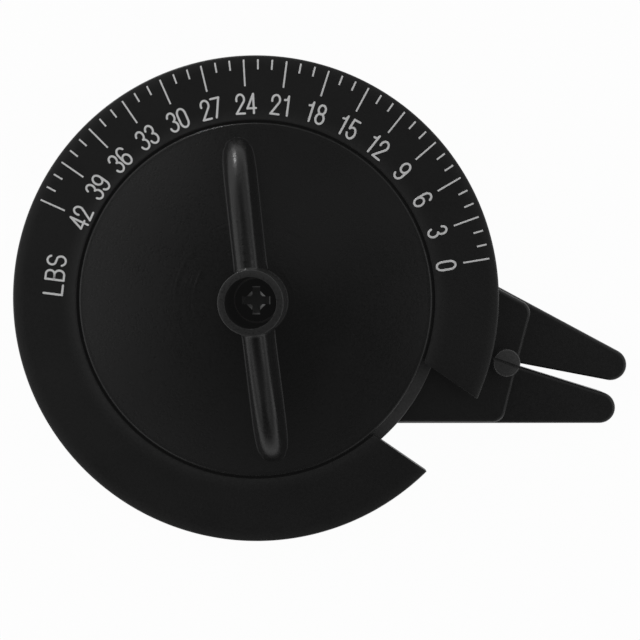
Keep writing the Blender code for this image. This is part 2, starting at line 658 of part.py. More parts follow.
def cone_height(radius):
    """Height of the knob's shallow cone at a radius."""
    foot = hub_foot_radius + HUB_FOOT_FILLET
    edge = knob_radius - KNOB_RIM_RADIUS
    share = max(0.0, (radius - foot) / (edge - foot))
    return rim_top + CONE_RISE * (1.0 - share ** CONE_POWER)


def knob_profile():
    """Half section of the knob without its fins: hole, bush pocket, snout, boss, disc, cone and hub."""
    profile = [(hub_hole_radius, bush_ledge), (bush_pocket_radius, bush_ledge),
               (bush_pocket_radius, snout_bottom), (snout_radius, snout_bottom),
               (snout_radius, boss_bottom), (boss_radius, boss_bottom), (boss_radius, knob_bottom),
               (knob_radius, knob_bottom)]
    rim_centre = (knob_radius - KNOB_RIM_RADIUS, rim_top - KNOB_RIM_RADIUS)
    profile += arc(rim_centre, KNOB_RIM_RADIUS, 0.0, math.pi / 2.0, math.pi / 2.0 / FILLET_STEPS)
    foot = hub_foot_radius + HUB_FOOT_FILLET
    edge = knob_radius - KNOB_RIM_RADIUS
    for step in range(1, CONE_STEPS + 1):
        radius = edge + (foot - edge) * step / CONE_STEPS
        profile.append((radius, cone_height(radius)))
    fillet_centre = (foot, cone_height(foot) + HUB_FOOT_FILLET)
    profile += arc(fillet_centre, HUB_FOOT_FILLET, -math.pi / 2.0, -math.pi,
                   math.pi / 2.0 / FILLET_STEPS)[1:]
    lip_centre = (hub_top_radius - HUB_RIM_RADIUS, hub_top - HUB_RIM_RADIUS)
    profile += arc(lip_centre, HUB_RIM_RADIUS, 0.0, math.pi / 2.0, math.pi / 2.0 / FILLET_STEPS)
    profile.append((hub_hole_radius, hub_top))
    return profile


def fin_point(along, across):
    """A point of the fins' skin.

    along goes from 0 at one end over the ridge to 1 at the other end, and across from -1 to 1 between
    the two flanks. Lengthwise the ridge is half an ellipse. Crosswise it is another one, between two
    flat flanks that lean in towards the top.
    """
    turn = math.pi * along
    tilt = math.pi / 2.0 * min(abs(across) / FIN_RIDGE_SHARE, 1.0)
    drop = FIN_RIDGE_DEPTH * (1.0 - math.cos(tilt))
    shrink = min((1.0 - abs(across)) / (1.0 - FIN_RIDGE_SHARE), 1.0)
    height = (fin_rise - drop) * shrink * math.sin(turn)
    lean = (FIN_FOOT_HALF_WIDTH - FIN_TOP_HALF_WIDTH) * height / fin_rise
    side = math.copysign((FIN_FOOT_HALF_WIDTH - lean) * math.sin(tilt), across)
    return (fin_reach - drop) * shrink * math.cos(turn), side, fin_foot + height


def fins():
    """Both fins as one blade, closed at its foot, with a root that runs down into the disc."""
    bm = bmesh.new()
    poles = [bm.verts.new(fin_point(0.0, -1.0)), bm.verts.new(fin_point(0.0, 1.0))]
    rows = []
    for step in range(FIN_LENGTH_STEPS + 1):
        row = []
        for index in range(1, FIN_WIDTH_STEPS):
            share = 2.0 * index / FIN_WIDTH_STEPS - 1.0
            row.append(bm.verts.new(fin_point(step / FIN_LENGTH_STEPS, share)))
        rows.append([poles[0]] + row + [poles[1]])
    for first, second in zip(rows, rows[1:]):
        bm.faces.new((first[0], second[1], first[1]))
        bm.faces.new((first[-1], first[-2], second[-2]))
        for index in range(1, FIN_WIDTH_STEPS - 1):
            bm.faces.new((first[index], second[index], second[index + 1], first[index + 1]))
    foot = rows[0] + rows[-1][1:-1][::-1]
    sunk = [bm.verts.new(vert.co - Vector((0.0, 0.0, FIN_ROOT_DEPTH))) for vert in foot]
    for index in range(len(foot)):
        bm.faces.new((foot[index - 1], foot[index], sunk[index], sunk[index - 1]))
    bm.faces.new(sunk)
    return bm


def make_wing_knob(material, dial):
    """Disc, hub and two fins in one moulding."""
    knob = add_object("wing_knob", turned(knob_profile(), KNOB_STEPS), material)
    knob.parent = dial
    blade = fins()
    blade.transform(turned_by(FIN_ANGLE))
    fin_body = add_object("knob_fins", blade)
    mid_wall = (hub_hole_radius + hub_top_radius) / 2.0
    cut(fin_body, "cut_between_fins", drum(mid_wall, knob_bottom, hub_top + OVERRUN))
    boolean(knob, fin_body, "UNION")
    hole_top = knob_screw_end + KNOB_SCREW_END_GAP
    for number, place in enumerate(knob_screw_places(), 1):
        hole = drum(KNOB_SCREW_THREAD_RADIUS + SEAT_GAP, knob_bottom - OVERRUN, hole_top)
        cut(knob, f"cut_knob_screw_{number}", hole, at(*place))


def make_knob_screws(material, dial):
    """Two pan-head screws that clamp the carrier to the knob."""
    under = knob_screw_seat - KNOB_SCREW_HEAD_HEIGHT
    rounded = KNOB_SCREW_HEAD_HEIGHT / 2.0
    for number, place in enumerate(knob_screw_places(), 1):
        screw = turned([(0.0, under), (KNOB_SCREW_HEAD_RADIUS - rounded, under),
                        (KNOB_SCREW_HEAD_RADIUS, under + rounded),
                        (KNOB_SCREW_HEAD_RADIUS, knob_screw_seat),
                        (KNOB_SCREW_THREAD_RADIUS, knob_screw_seat),
                        (KNOB_SCREW_THREAD_RADIUS, knob_screw_end), (0.0, knob_screw_end)], SMALL_STEPS)
        screw.transform(at(*place))
        add_object(f"knob_screw_{number}", screw, material).parent = dial


def make_calibrator():
    """Build every piece. The empty on the dial's axis carries what turns."""
    clear_scene()
    black = make_material("black_plastic", (0.012, 0.012, 0.013), 0.42, 0.0)
    ring_black = make_material("ring_plastic", (0.010, 0.010, 0.011), 0.5, 0.0)
    steel = make_material("steel", (0.55, 0.55, 0.56), 0.3, 1.0)
    dark_steel = make_material("dark_steel", (0.12, 0.12, 0.12), 0.35, 1.0)
    brass = make_material("brass", (0.7, 0.5, 0.2), 0.3, 1.0)
    acetal = make_material("acetal", (0.75, 0.75, 0.72), 0.4, 0.0)
    dial = bpy.data.objects.new("dial_axis", None)
    bpy.context.scene.collection.objects.link(dial)
    make_jaw_plate(black)
    make_arm_plate(black)
    make_plate_screws(steel)
    make_pivot_post(brass)
    make_stop_pin(steel)
    make_throat_screw(dark_steel)
    make_thrust_washer(acetal)
    make_torsion_spring(steel)
    make_centre_washer(steel)
    make_centre_screw(dark_steel)
    make_dial_carrier(black, dial)
    make_scale_ring(ring_black, dial)
    make_wing_knob(black, dial)
    make_pivot_bush(acetal, dial)
    make_knob_screws(steel, dial)


make_calibrator()
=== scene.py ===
# %% [markdown]
# # String tension calibrator
#
# A black hand gauge: a winged knob turns a printed scale ring against a spring, and the two prongs of
# the beak hold a string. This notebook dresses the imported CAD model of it. Each chapter first says what
# the real piece is and how it could be made, and then makes it.

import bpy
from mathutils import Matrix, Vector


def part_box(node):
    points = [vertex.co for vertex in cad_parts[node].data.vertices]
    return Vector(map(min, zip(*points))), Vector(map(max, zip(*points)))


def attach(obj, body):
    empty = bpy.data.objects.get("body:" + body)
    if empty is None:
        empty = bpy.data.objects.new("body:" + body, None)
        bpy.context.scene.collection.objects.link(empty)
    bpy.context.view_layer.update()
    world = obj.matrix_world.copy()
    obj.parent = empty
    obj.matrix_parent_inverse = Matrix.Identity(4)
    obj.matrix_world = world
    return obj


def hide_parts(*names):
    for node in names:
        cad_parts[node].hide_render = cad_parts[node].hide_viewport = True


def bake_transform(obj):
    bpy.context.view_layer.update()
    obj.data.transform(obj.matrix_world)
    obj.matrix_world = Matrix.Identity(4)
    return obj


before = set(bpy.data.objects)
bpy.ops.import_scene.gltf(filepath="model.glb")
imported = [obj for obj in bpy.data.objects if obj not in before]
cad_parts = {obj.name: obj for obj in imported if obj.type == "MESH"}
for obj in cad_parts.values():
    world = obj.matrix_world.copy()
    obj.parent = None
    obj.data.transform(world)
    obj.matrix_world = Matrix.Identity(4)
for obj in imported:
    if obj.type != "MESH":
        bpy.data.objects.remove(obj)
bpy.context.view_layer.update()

# %% [markdown]
# The CAD model is in metres. The shapes below are easier to read in millimetres, so every mesh is drawn
# in millimetres and shrunk once, when it becomes a piece.
#
# The dial turns about Z. The back of the frame lies at height 0, and the beak points along X.

# %% Tools and units
import math

import bmesh
import bpy
from mathutils import Matrix, Vector

MM = 0.001
UP = Vector((0.0, 0.0, 1.0))


def polar(radius, degrees):
    """A point of the dial's plane, from its radius and its angle."""
    return radius * math.cos(math.radians(degrees)), radius * math.sin(math.radians(degrees))


def bow(centre, radii, start, end, count):
    """Points along a round or oval arc, both ends included. Angles are in degrees."""
    points = []
    for index in range(count + 1):
        x, y = polar(1.0, start + (end - start) * index / count)
        points.append((centre[0] + radii[0] * x, centre[1] + radii[1] * y))
    return points


def round_arc(x, y, radius, start, end, count):
    """A round arc with its centre at x and y."""
    return bow((x, y), (radius, radius), start, end, count)


print("an arc of four steps has", len(round_arc(0.0, 0.0, 1.0, 0.0, 90.0, 4)), "points")

# %% [markdown]
# ## The camera
#
# The photograph looks almost straight down on the dial from about 15 cm. The gauge lies turned by 14
# degrees in the picture, so the camera is placed with two directions of its own: right and up as the
# picture shows them. At this short distance the far edges of tall pieces lean outwards, and that shows
# on the hub, so the distance matters as much as the angle of view.

# %% Camera
PICTURE_TURN = 14.05           # from the picture's right to the beak's direction, in degrees
RING_TOP = 9.6                 # height of the scale's face
CAMERA_HEIGHT = 150.0          # above the scale's face
CAMERA_RIGHT = 8.30            # from the dial's axis, along the picture's right
CAMERA_UP = 4.00               # the same along the picture's up
AIM_UP = -2.53                 # where the middle of the picture meets the scale's face
FOCAL_PIXELS = 1160.0          # focal length in the picture's own pixels
PICTURE_PIXELS = 640.0
SENSOR_WIDTH = 36.0

picture_right = Vector((*polar(1.0, PICTURE_TURN), 0.0))
picture_up = UP.cross(picture_right)
eye = picture_right * CAMERA_RIGHT + picture_up * CAMERA_UP + UP * (RING_TOP + CAMERA_HEIGHT)
aim = picture_right * CAMERA_RIGHT + picture_up * AIM_UP + UP * RING_TOP
back = (eye - aim).normalized()
side = picture_up.cross(back).normalized()
turn = Matrix((side, back.cross(side), back)).transposed()

camera_data = bpy.data.cameras.new("camera")
camera_data.sensor_width = SENSOR_WIDTH
camera_data.lens = SENSOR_WIDTH * FOCAL_PIXELS / PICTURE_PIXELS
camera_data.clip_start = 0.01
camera = bpy.data.objects.new("camera", camera_data)
camera.matrix_world = Matrix.Translation(eye * MM) @ turn.to_4x4()
bpy.context.scene.collection.objects.link(camera)
bpy.context.scene.camera = camera
print("lens:", round(camera_data.lens, 2), "mm")

# %% [markdown]
# ## Shader sums
#
# A finish is a small program of nodes. Long chains of Math nodes are hard to read as calls, so a socket
# is wrapped in a class that knows plus, minus and times. Then 1 - mask * 0.2 builds its own nodes.
#
# Every other node comes from one method. It takes the node's type, its settings, and what its sockets
# hold: a plain value, or the output of another node.

# %% Shader helper
class Field:
    """One output of a node: a number, colour or vector that changes over the surface."""

    def __init__(self, finish, socket):
        self.finish = finish
        self.socket = socket

    def sum_with(self, operation, other, swapped=False):
        first, second = (other, self) if swapped else (self, other)
        return self.finish.node("ShaderNodeMath", {"operation": operation}, {0: first, 1: second})

    def __add__(self, other):
        return self.sum_with("ADD", other)

    def __sub__(self, other):
        return self.sum_with("SUBTRACT", other)

    def __rsub__(self, other):
        return self.sum_with("SUBTRACT", other, swapped=True)

    def __mul__(self, other):
        return self.sum_with("MULTIPLY", other)

    __radd__ = __add__
    __rmul__ = __mul__


# Stray light in the lens lifts the deepest blacks of the photograph. A trace of glow does the same here.
VEIL = {"Emission Color": (1.0, 1.0, 1.0, 1.0), "Emission Strength": 0.0035}
HOLE_VEIL = 0.0046             # the same in the deep hole of the hub


class Finish:
    """A material whose nodes are added one by one."""

    def __init__(self, name, constants):
        self.material = bpy.data.materials.new(name)
        self.material.use_nodes = True
        self.tree = self.material.node_tree
        self.shader = self.tree.nodes["Principled BSDF"]
        for socket, value in (VEIL | constants).items():
            self.shader.inputs[socket].default_value = value

    def node(self, kind, settings, sockets, output=0):
        """Add a node, settings first, and give back one of its outputs."""
        node = self.tree.nodes.new(kind)
        for name, value in settings.items():
            if name == "stops":
                self.set_stops(node.color_ramp, value)
            else:
                setattr(node, name, value)
        for name, value in sockets.items():
            self.fill(node.inputs[name], value)
        return Field(self, node.outputs[output])

    def set_stops(self, ramp, stops):
        """Set a ramp's stops, as (place, grey) pairs."""
        while len(ramp.elements) < len(stops):
            ramp.elements.new(0.5)
        for element, (place, grey) in zip(ramp.elements, stops):
            element.position = place
            element.color = (grey, grey, grey, 1.0)

    def fill(self, socket, value):
        """Link a field to a socket, or write a value into it."""
        if isinstance(value, Field):
            self.tree.links.new(value.socket, socket)
        else:
            socket.default_value = value

    def shade(self, **fields):
        """Send fields to the shader's sockets, with _ for a space in their names."""
        for name, value in fields.items():
            self.fill(self.shader.inputs[name.replace("_", " ")], value)

    def place(self, centre=(0.0, 0.0)):
        """Position on the piece in metres, measured from a centre given in millimetres."""
        spot = self.node("ShaderNodeTexCoord", {}, {}, "Object")
        shift = (-centre[0] * MM, -centre[1] * MM, 0.0)
        return self.node("ShaderNodeVectorMath", {"operation": "ADD"}, {0: spot, 1: shift})

    def noise(self, spot, grain, detail=2.0, roughness=0.5):
        """Noise whose features are about grain millimetres across."""
        return self.node("ShaderNodeTexNoise", {},
                         {"Vector": spot, "Scale": 1.0 / (grain * MM), "Detail": detail,
                          "Roughness": roughness})

    def patches(self, noise, low, high):
        """A mask that is 0 where a noise lies below one value and 1 where it lies above another."""
        return self.node("ShaderNodeValToRGB", {"stops": [(low, 0.0), (high, 1.0)]}, {"Fac": noise})

    def reach(self, spot):
        """Distance of a position from the axis, in metres."""
        flat = self.node("ShaderNodeVectorMath", {"operation": "MULTIPLY"}, {0: spot, 1: (1.0, 1.0, 0.0)})
        return self.node("ShaderNodeVectorMath", {"operation": "LENGTH"}, {0: flat}, "Value")

    def along(self, spot, direction):
        """How far a position lies in a direction, in metres."""
        return self.node("ShaderNodeVectorMath", {"operation": "DOT_PRODUCT"},
                         {0: spot, 1: tuple(direction)}, "Value")

    def rings(self, reach, pitch):
        """Rings of noise round the axis, about pitch millimetres apart."""
        return self.noise(self.node("ShaderNodeCombineXYZ", {}, {"X": reach}), pitch, 2.0, 0.6)

    def between(self, length, start, end, first=0.0, last=1.0, kind="LINEAR"):
        """Go from first to last while a length in metres goes from start to end in millimetres."""
        return self.node("ShaderNodeMapRange", {"interpolation_type": kind},
                         {"Value": length, "From Min": start * MM, "From Max": end * MM,
                          "To Min": first, "To Max": last})

    def layer(self, mask, below, above):
        """One colour over another, by a mask."""
        return self.node("ShaderNodeMix", {"data_type": "RGBA"}, {0: mask, 6: below, 7: above}, 2)

    def tint(self, mask, dark, light):
        """A grey between two others, both written as linear values."""
        return self.layer(mask, (dark, dark, dark, 1.0), (light, light, light, 1.0))

    def bump(self, height, depth):
        """A normal from a height between 0 and 1 that stands for depth millimetres."""
        return self.node("ShaderNodeBump", {}, {"Height": height, "Distance": depth * MM})


print("shader helper ready")

# %% [markdown]
# ## Black moulded plastic
#
# The knob and the frame are moulded in black plastic with a satin face. Up close it isn't one black:
# the mould leaves a very fine grain, and the gloss wanders a little over a centimetre or so. A painted
# texture could show that, but noise made by nodes stays sharp at any distance.
#
# The grain goes into a Bump node, a gentle cloud goes into the roughness, and both shift the colour a
# little. The carrier is moulded in a paler, dark grey plastic. The hole in the hub and the side of the
# knob's rim are dull, because the mould isn't polished there.

# %% Moulded plastic
GRAIN = 0.33                   # size of the mould's grain, in millimetres
GRAIN_DEPTH = 0.015            # how deep the grain is
CLOUD = 7.0                    # size of the patches where the gloss changes


def moulded_plastic(name, tone, roughness, gloss=0.38, extra=()):
    """Satin plastic of a dark tone. Gives back the finish and its main fields."""
    finish = Finish(name, {"IOR": 1.46, "Specular IOR Level": gloss} | dict(extra))
    spot = finish.place()
    grain = finish.noise(spot, GRAIN, 3.0, 0.6)
    cloud = finish.noise(spot, CLOUD, 2.0, 0.5)
    speck = finish.patches(finish.noise(spot, 2.5 * GRAIN, 1.0), 0.70, 0.80)
    shade = finish.tint(cloud * 0.4 + grain * 0.6, tone * 0.4, tone * 1.6)
    finish.shade(Base_Color=shade,
                 Roughness=roughness + (cloud - 0.5) * 0.12 + (grain - 0.5) * 0.24 - speck * 0.04,
                 Normal=finish.bump(grain, GRAIN_DEPTH))
    return finish, spot, grain, shade


def worn_tint(finish, grain, tone):
    """A paler grey of painted light, still with the mould's grain in it."""
    return finish.tint(grain, tone * 0.5, tone * 1.5)


frame_plastic = moulded_plastic("moulded black plastic of the frame", 0.0032, 0.40)[0].material
carrier_plastic = moulded_plastic("dark grey plastic of the carrier", 0.056, 0.42)[0].material
bore_plastic = moulded_plastic("dull plastic of the hole and the rim", 0.008, 0.85, 0.02,
                               {"Emission Strength": HOLE_VEIL})[0].material
print("plastics:", frame_plastic.name, "/", carrier_plastic.name)

# %% [markdown]
# The ring is painted a little paler along its bore and along its outer edge, as a painted highlight for
# the light that these edges catch.
# A mask by the distance from the axis is 1 at each edge and fades away from it.

# %% Ring plastic
RING_BORE = 23.2
RING_RADIUS = 31.5
BORE_BAND = 2.0                # how far the paler band reaches from the bore
EDGE_BAND = 1.6                # the same from the outer edge
# Tone of the painted highlight along the ring's bore and outer edge.
RING_PAINTED_LIGHT_TONE = 0.013


def ring_finish():
    """Moulded plastic with painted light: it is paler along the bore and the outer edge of the ring."""
    finish, spot, grain, shade = moulded_plastic("black plastic of the scale ring", 0.0028, 0.44)
    reach = finish.reach(spot)
    # Masks of the painted highlight, 1 at each edge of the ring.
    inner = finish.between(reach, RING_BORE, RING_BORE + BORE_BAND, 0.9, 0.0)
    outer = finish.between(reach, RING_RADIUS - EDGE_BAND, RING_RADIUS)
    pale_painted_light = worn_tint(finish, grain, RING_PAINTED_LIGHT_TONE)
    finish.shade(Base_Color=finish.layer(inner * inner + outer * outer, shade, pale_painted_light))
    return finish.material


ring_plastic = ring_finish()
print("ring:", ring_plastic.name, "with", len(ring_plastic.node_tree.nodes), "nodes")

# %% [markdown]
# The knob has two things more. Round the hub the mould was turned on a lathe, and faint arcs of the
# tool still show on one half of the cone. They are rings of noise: the noise is read at the distance
# from the axis, so it is the same all the way round. A second noise breaks the rings into arcs, and a
# mask across the knob nearly hides them on the other half.
#
# The hub is painted a little paler, as a painted highlight for the light that its rim catches, so a mask
# by the distance from the axis lifts its colour.

# %% Knob plastic
ARC_PITCH = 0.9                # distance between the tool's arcs, in millimetres
ARC_LIMIT = 13.0               # the arcs fade out at this radius
ARC_DEPTH = 0.12
ARC_FADE = 4.0                 # how far from the middle the arcs have their full depth
# Size and tone of the painted highlight on the hub.
HUB_LIGHT_RADIUS = 4.35
HUB_LIGHT_EDGE = 0.2
HUB_PAINTED_LIGHT_TONE = 0.026


def knob_finish():
    """Moulded plastic with the faint arcs of the mould's turning tool."""
    finish, spot, grain, shade = moulded_plastic("moulded black plastic of the knob", 0.0030, 0.30)
    reach = finish.reach(spot)
    breaks = finish.patches(finish.noise(spot, 5.0, 1.0), 0.44, 0.56)
    fade = finish.between(reach, 0.5 * ARC_LIMIT, ARC_LIMIT, 1.0, 0.0, "SMOOTHSTEP")
    above = finish.between(finish.along(spot, picture_up), 0.0, ARC_FADE, 0.2, 1.0, "SMOOTHSTEP")
    lines = (finish.rings(reach, ARC_PITCH) - 0.5) * breaks * fade * above
    # Painted highlight: the hub is lifted to a paler grey.
    hub_painted_light = finish.between(reach, HUB_LIGHT_RADIUS - HUB_LIGHT_EDGE, HUB_LIGHT_RADIUS, 1.0, 0.0)
    finish.shade(Base_Color=finish.layer(hub_painted_light, shade, worn_tint(finish, grain, HUB_PAINTED_LIGHT_TONE)),
                 Normal=finish.bump(lines * (ARC_DEPTH / GRAIN_DEPTH) + grain, GRAIN_DEPTH))
    return finish.material


knob_plastic = knob_finish()
print("knob:", knob_plastic.name, "with", len(knob_plastic.node_tree.nodes), "nodes")

# %% [markdown]
# ## Ink, metals and bearings
#
# The scale is printed in a matt off-white ink that lets a little of the black through. The two screws
# that show are blackened steel with the fine rings of the lathe. Inside are bright steel, brass and a
# milky bearing plastic, which show only when the gauge is taken apart.

# %% Ink and metals
LATHE_PITCH = 0.14             # distance between the lathe's rings, in millimetres
PATINA = 0.8                   # size of the patches where a metal is darker


def printed_ink(name, dark, light):
    """Matt ink with a faintly uneven cover."""
    finish = Finish(name, {"Specular IOR Level": 0.3})
    spot = finish.place()
    cover = finish.noise(spot, 0.12, 2.0, 0.6)
    finish.shade(Base_Color=finish.tint(cover, dark, light), Roughness=0.6 + cover * 0.2,
                 Normal=finish.bump(cover, 0.003))
    return finish.material


def turned_metal(name, dark, light, roughness, centre=(0.0, 0.0), tint=(1.0, 1.0, 1.0), metal=1.0,
                 extra=()):
    """Metal with the fine rings that a lathe leaves round a centre."""
    finish = Finish(name, {"Metallic": metal, "Specular IOR Level": 0.5 * metal} | dict(extra))
    spot = finish.place(centre)
    rings = finish.rings(finish.reach(spot), LATHE_PITCH)
    patina = finish.noise(spot, PATINA, 3.0, 0.6)
    low, high = ((*(tone * part for part in tint), 1.0) for tone in (dark, light))
    finish.shade(Base_Color=finish.layer(patina, low, high),
                 Roughness=roughness + (rings - 0.5) * 0.14 + (patina - 0.5) * 0.1,
                 Normal=finish.bump(rings, 0.002))
    return finish.material


THROAT_PLACE = (33.65, 0.0)    # axis of the throat screw
ink = printed_ink("off-white ink", 0.74, 0.93)
throat_steel = turned_metal("blackened steel of the throat screw", 0.068, 0.114, 0.42, THROAT_PLACE)
centre_steel = turned_metal("blackened steel of the centre screw", 0.010, 0.024, 0.6, metal=0.04,
                            extra={"Emission Strength": HOLE_VEIL})
recess_steel = turned_metal("scuffed floor of the cross recess", 0.20, 0.34, 0.50)
bright_steel = turned_metal("bright steel", 0.50, 0.62, 0.28)
brass = turned_metal("brass", 0.62, 0.80, 0.26, tint=(1.0, 0.74, 0.38))
print("metals:", throat_steel.name, "/", centre_steel.name, "/", bright_steel.name, "/", brass.name)

# %% Worn steel with painted glints
# The glints are painted: a glow that stands in for light reflected off the walls of the cross.
PAINTED_GLINT_STRENGTH = 0.11                   # brightest glint on the worn edges of the cross
GLINT_SIDE_HALF = 1.2                # the glints grow over this distance to both sides of the axis
GLINT_AXIS_FADE = (1.25, 1.75)       # they halve between these distances from it


def worn_steel(name):
    """Steel that a driver's blade has rubbed bright, with painted glints: a glow that comes and goes along
    its edges and is stronger on one side.
    """
    finish = Finish(name, {"Metallic": 1.0, "Emission Strength": PAINTED_GLINT_STRENGTH})
    spot = finish.place()
    wear_and_glint = finish.noise(spot, 0.5, 2.0, 0.6)
    near = finish.between(finish.reach(spot), *GLINT_AXIS_FADE, 1.0, 0.5)
    # Painted glints grow towards one side of the axis and fade away from it.
    glint_facing = finish.between(finish.along(spot, picture_right), -GLINT_SIDE_HALF, GLINT_SIDE_HALF, 0.15, 1.0)
    finish.shade(Base_Color=finish.tint(wear_and_glint, 0.10, 0.30), Roughness=0.30 + wear_and_glint * 0.2,
                 Emission_Color=finish.tint(wear_and_glint * glint_facing * near, 0.0, 1.6))
    return finish.material


painted_glint_steel = worn_steel("worn steel with painted glints")
print("worn:", painted_glint_steel.name)

# %% Bearing plastic
def bearing_plastic(name):
    """Milky bearing plastic with a soft cloud in it."""
    finish = Finish(name, {"Subsurface Weight": 0.15, "Subsurface Scale": 0.001})
    spot = finish.place()
    cloud = finish.noise(spot, 2.0, 3.0, 0.55)
    finish.shade(Base_Color=finish.tint(cloud, 0.66, 0.78), Roughness=0.36 + cloud * 0.12,
                 Normal=finish.bump(finish.noise(spot, 0.3, 2.0), 0.003))
    return finish.material


acetal = bearing_plastic("milky bearing plastic")
print("bearings:", acetal.name)

# %% [markdown]
# ## From a drawing to a piece
#
# Four small tools make nearly all the shapes: a profile turned about the dial's axis, rows of corners
# joined into a skin, an outline extruded into a plate, and a cut with a Boolean. Cuts use the exact
# solver, because the plates have flat faces that meet at right angles.
#
# A piece gets weighted normals at the end. A large flat face then keeps its own straight normal, and
# the shading turns only along the narrow rounded edges, which is what makes them catch the light.

# %% Shape tools
ROUND_STEPS = 256              # facets round the large turned pieces
SMALL_STEPS = 64
SHARP = math.radians(40.0)


def turned(profile, steps=ROUND_STEPS):
    """Turn a half section of (radius, height) points about the dial's axis."""
    bm = bmesh.new()
    rings = []
    for radius, height in profile:
        count = steps if radius > 0.0 else 1
        rings.append([bm.verts.new((*polar(radius, 360.0 * step / steps), height))
                      for step in range(count)])
    closing = [] if profile[0][0] == 0.0 else [rings[0]]
    for first, second in zip(rings, rings[1:] + closing):
        for step in range(steps):
            corners = [first[step - 1 if len(first) > 1 else 0], first[step % len(first)],
                       second[step % len(second)], second[step - 1 if len(second) > 1 else 0]]
            bm.faces.new(dict.fromkeys(corners))
    return bm


def drum(radius, bottom, top, steps=SMALL_STEPS):
    """A plain round bar on the axis, used as a cutter."""
    return turned([(0.0, bottom), (radius, bottom), (radius, top), (0.0, top)], steps)


def tube(inner, outer, bottom, top, steps=ROUND_STEPS):
    """A plain ring on the axis, used as a cutter."""
    return turned([(inner, bottom), (outer, bottom), (outer, top), (inner, top)], steps)


def joined(bm, rows, closed=False):
    """Join rows of corners, each once round a section, into a skin. Gives back the faces of its ends."""
    following = rows[1:] + (rows[:1] if closed else [])
    for first, second in zip(rows, following):
        for index in range(len(first)):
            bm.faces.new((first[index - 1], first[index], second[index], second[index - 1]))
    return [] if closed else [bm.faces.new(rows[0]), bm.faces.new(rows[-1])]


def extruded(outline, bottom, top):
    """Extrude a closed outline of (x, y) points from one height to another."""
    bm = bmesh.new()
    joined(bm, [[bm.verts.new((x, y, height)) for x, y in outline] for height in (bottom, top)])
    bmesh.ops.recalc_face_normals(bm, faces=bm.faces)
    return bm


def box(low, high):
    """A box between two corners, used as a cutter."""
    corners = [(low[0], low[1]), (high[0], low[1]), (high[0], high[1]), (low[0], high[1])]
    return extruded(corners, low[2], high[2])


def hexagon(flats, bottom, top):
    """A hexagonal bar, measured across its flats, used as a cutter."""
    return extruded([polar(flats / math.sqrt(3.0), 60.0 * side) for side in range(6)], bottom, top)


print("a drum has", len(drum(1.0, 0.0, 1.0).faces), "faces")

# %% Rounding, cutting and finishing
RIM_SEGMENTS = 4


def round_rims(bm, radius):
    """Round the edges between the flat faces and the sides of an extruded plate."""
    bm.normal_update()
    rims = [edge for edge in bm.edges
            if (abs(edge.link_faces[0].normal.z) > 0.5) != (abs(edge.link_faces[1].normal.z) > 0.5)]
    bmesh.ops.bevel(bm, geom=rims, offset=radius, offset_type="OFFSET", segments=RIM_SEGMENTS, profile=0.5,
                    affect="EDGES")


def at(bm, x, y, degrees=0.0):
    """Turn a shape about the axis, and then move it in the dial's plane."""
    bm.transform(Matrix.Translation((x, y, 0.0)) @ Matrix.Rotation(math.radians(degrees), 4, "Z"))
    return bm


def as_object(name, bm):
    """Turn a shape in millimetres into an object in metres."""
    bmesh.ops.recalc_face_normals(bm, faces=bm.faces)
    bm.transform(Matrix.Scale(MM, 4))
    mesh = bpy.data.meshes.new(name)
    bm.to_mesh(mesh)
    bm.free()
    thing = bpy.data.objects.new(name, mesh)
    bpy.context.scene.collection.objects.link(thing)
    return thing


def settle(thing):
    """Apply an object's modifiers to its mesh."""
    bpy.context.view_layer.update()
    evaluated = thing.evaluated_get(bpy.context.evaluated_depsgraph_get())
    mesh = bpy.data.meshes.new_from_object(evaluated)
    thing.modifiers.clear()
    thing.data = mesh


def make_piece(name, bm, material, body, stands_for=(), cuts=()):
    """Make a finished piece: cut it, shade it, and let it ride on its body, if it is given one."""
    piece = as_object(name, bm)
    cutters = [as_object(f"cutter_{number}", cut) for number, cut in enumerate(cuts)]
    for cutter in cutters:
        modifier = piece.modifiers.new("cut", "BOOLEAN")
        modifier.object = cutter
        modifier.operation = "DIFFERENCE"
        modifier.solver = "EXACT"
    settle(piece)
    for cutter in cutters:
        bpy.data.objects.remove(cutter)
    piece.data.name = name
    piece.data.materials.clear()
    piece.data.materials.append(material)
    piece.data.shade_smooth()
    piece.data.set_sharp_from_angle(angle=SHARP)
    weighting = piece.modifiers.new("weighting", "WEIGHTED_NORMAL")
    weighting.keep_sharp = True
    weighting.weight = 100
    settle(piece)
    if body:
        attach(piece, body)
    if stands_for:
        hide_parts(*stands_for)
    print(name, "has", len(piece.data.polygons), "faces")
    return piece


# %% [markdown]
# ## The scale ring
#
# The ring is a flat washer of plastic with a notch right through it. The notch's sides are parallel, so
# they aren't radii. A Boolean could cut it, but a cut leaves sharp edges and long thin faces. Here the
# ring is swept from one side of the notch to the other: each circle of its section simply starts and
# ends at the angle where it meets the notch's sides. The two ends are then bevelled a little.
#
# A moulded face is never quite flat. This one rises a little towards the bore and rolls down to the
# outer edge, and that is where it catches the light.

# %% Scale ring
RING_BOTTOM = 7.8
BORE_LIP = 0.15                # how much higher the face is at the bore
EDGE_ROLL = 0.12               # how much lower it is at the outer edge
RING_EDGE = 0.3                # roundings at the outer edge and at the bore
BORE_EDGE = 0.08
NOTCH_WIDTH = 11.5
NOTCH_ANGLE = -20.5
NOTCH_EDGE = 0.1
SWEEP_STEPS = 400

bore_side, outer_side = RING_BORE + BORE_EDGE, RING_RADIUS - RING_EDGE


def face_height(radius):
    """Height of the ring's face: it rises a little to the bore and rolls down to the outer edge."""
    lip = max(0.0, 1.0 - (radius - RING_BORE) / BORE_BAND)
    roll = max(0.0, (radius - RING_RADIUS + EDGE_BAND) / EDGE_BAND)
    return RING_TOP + BORE_LIP * lip ** 2 - EDGE_ROLL * roll ** 2


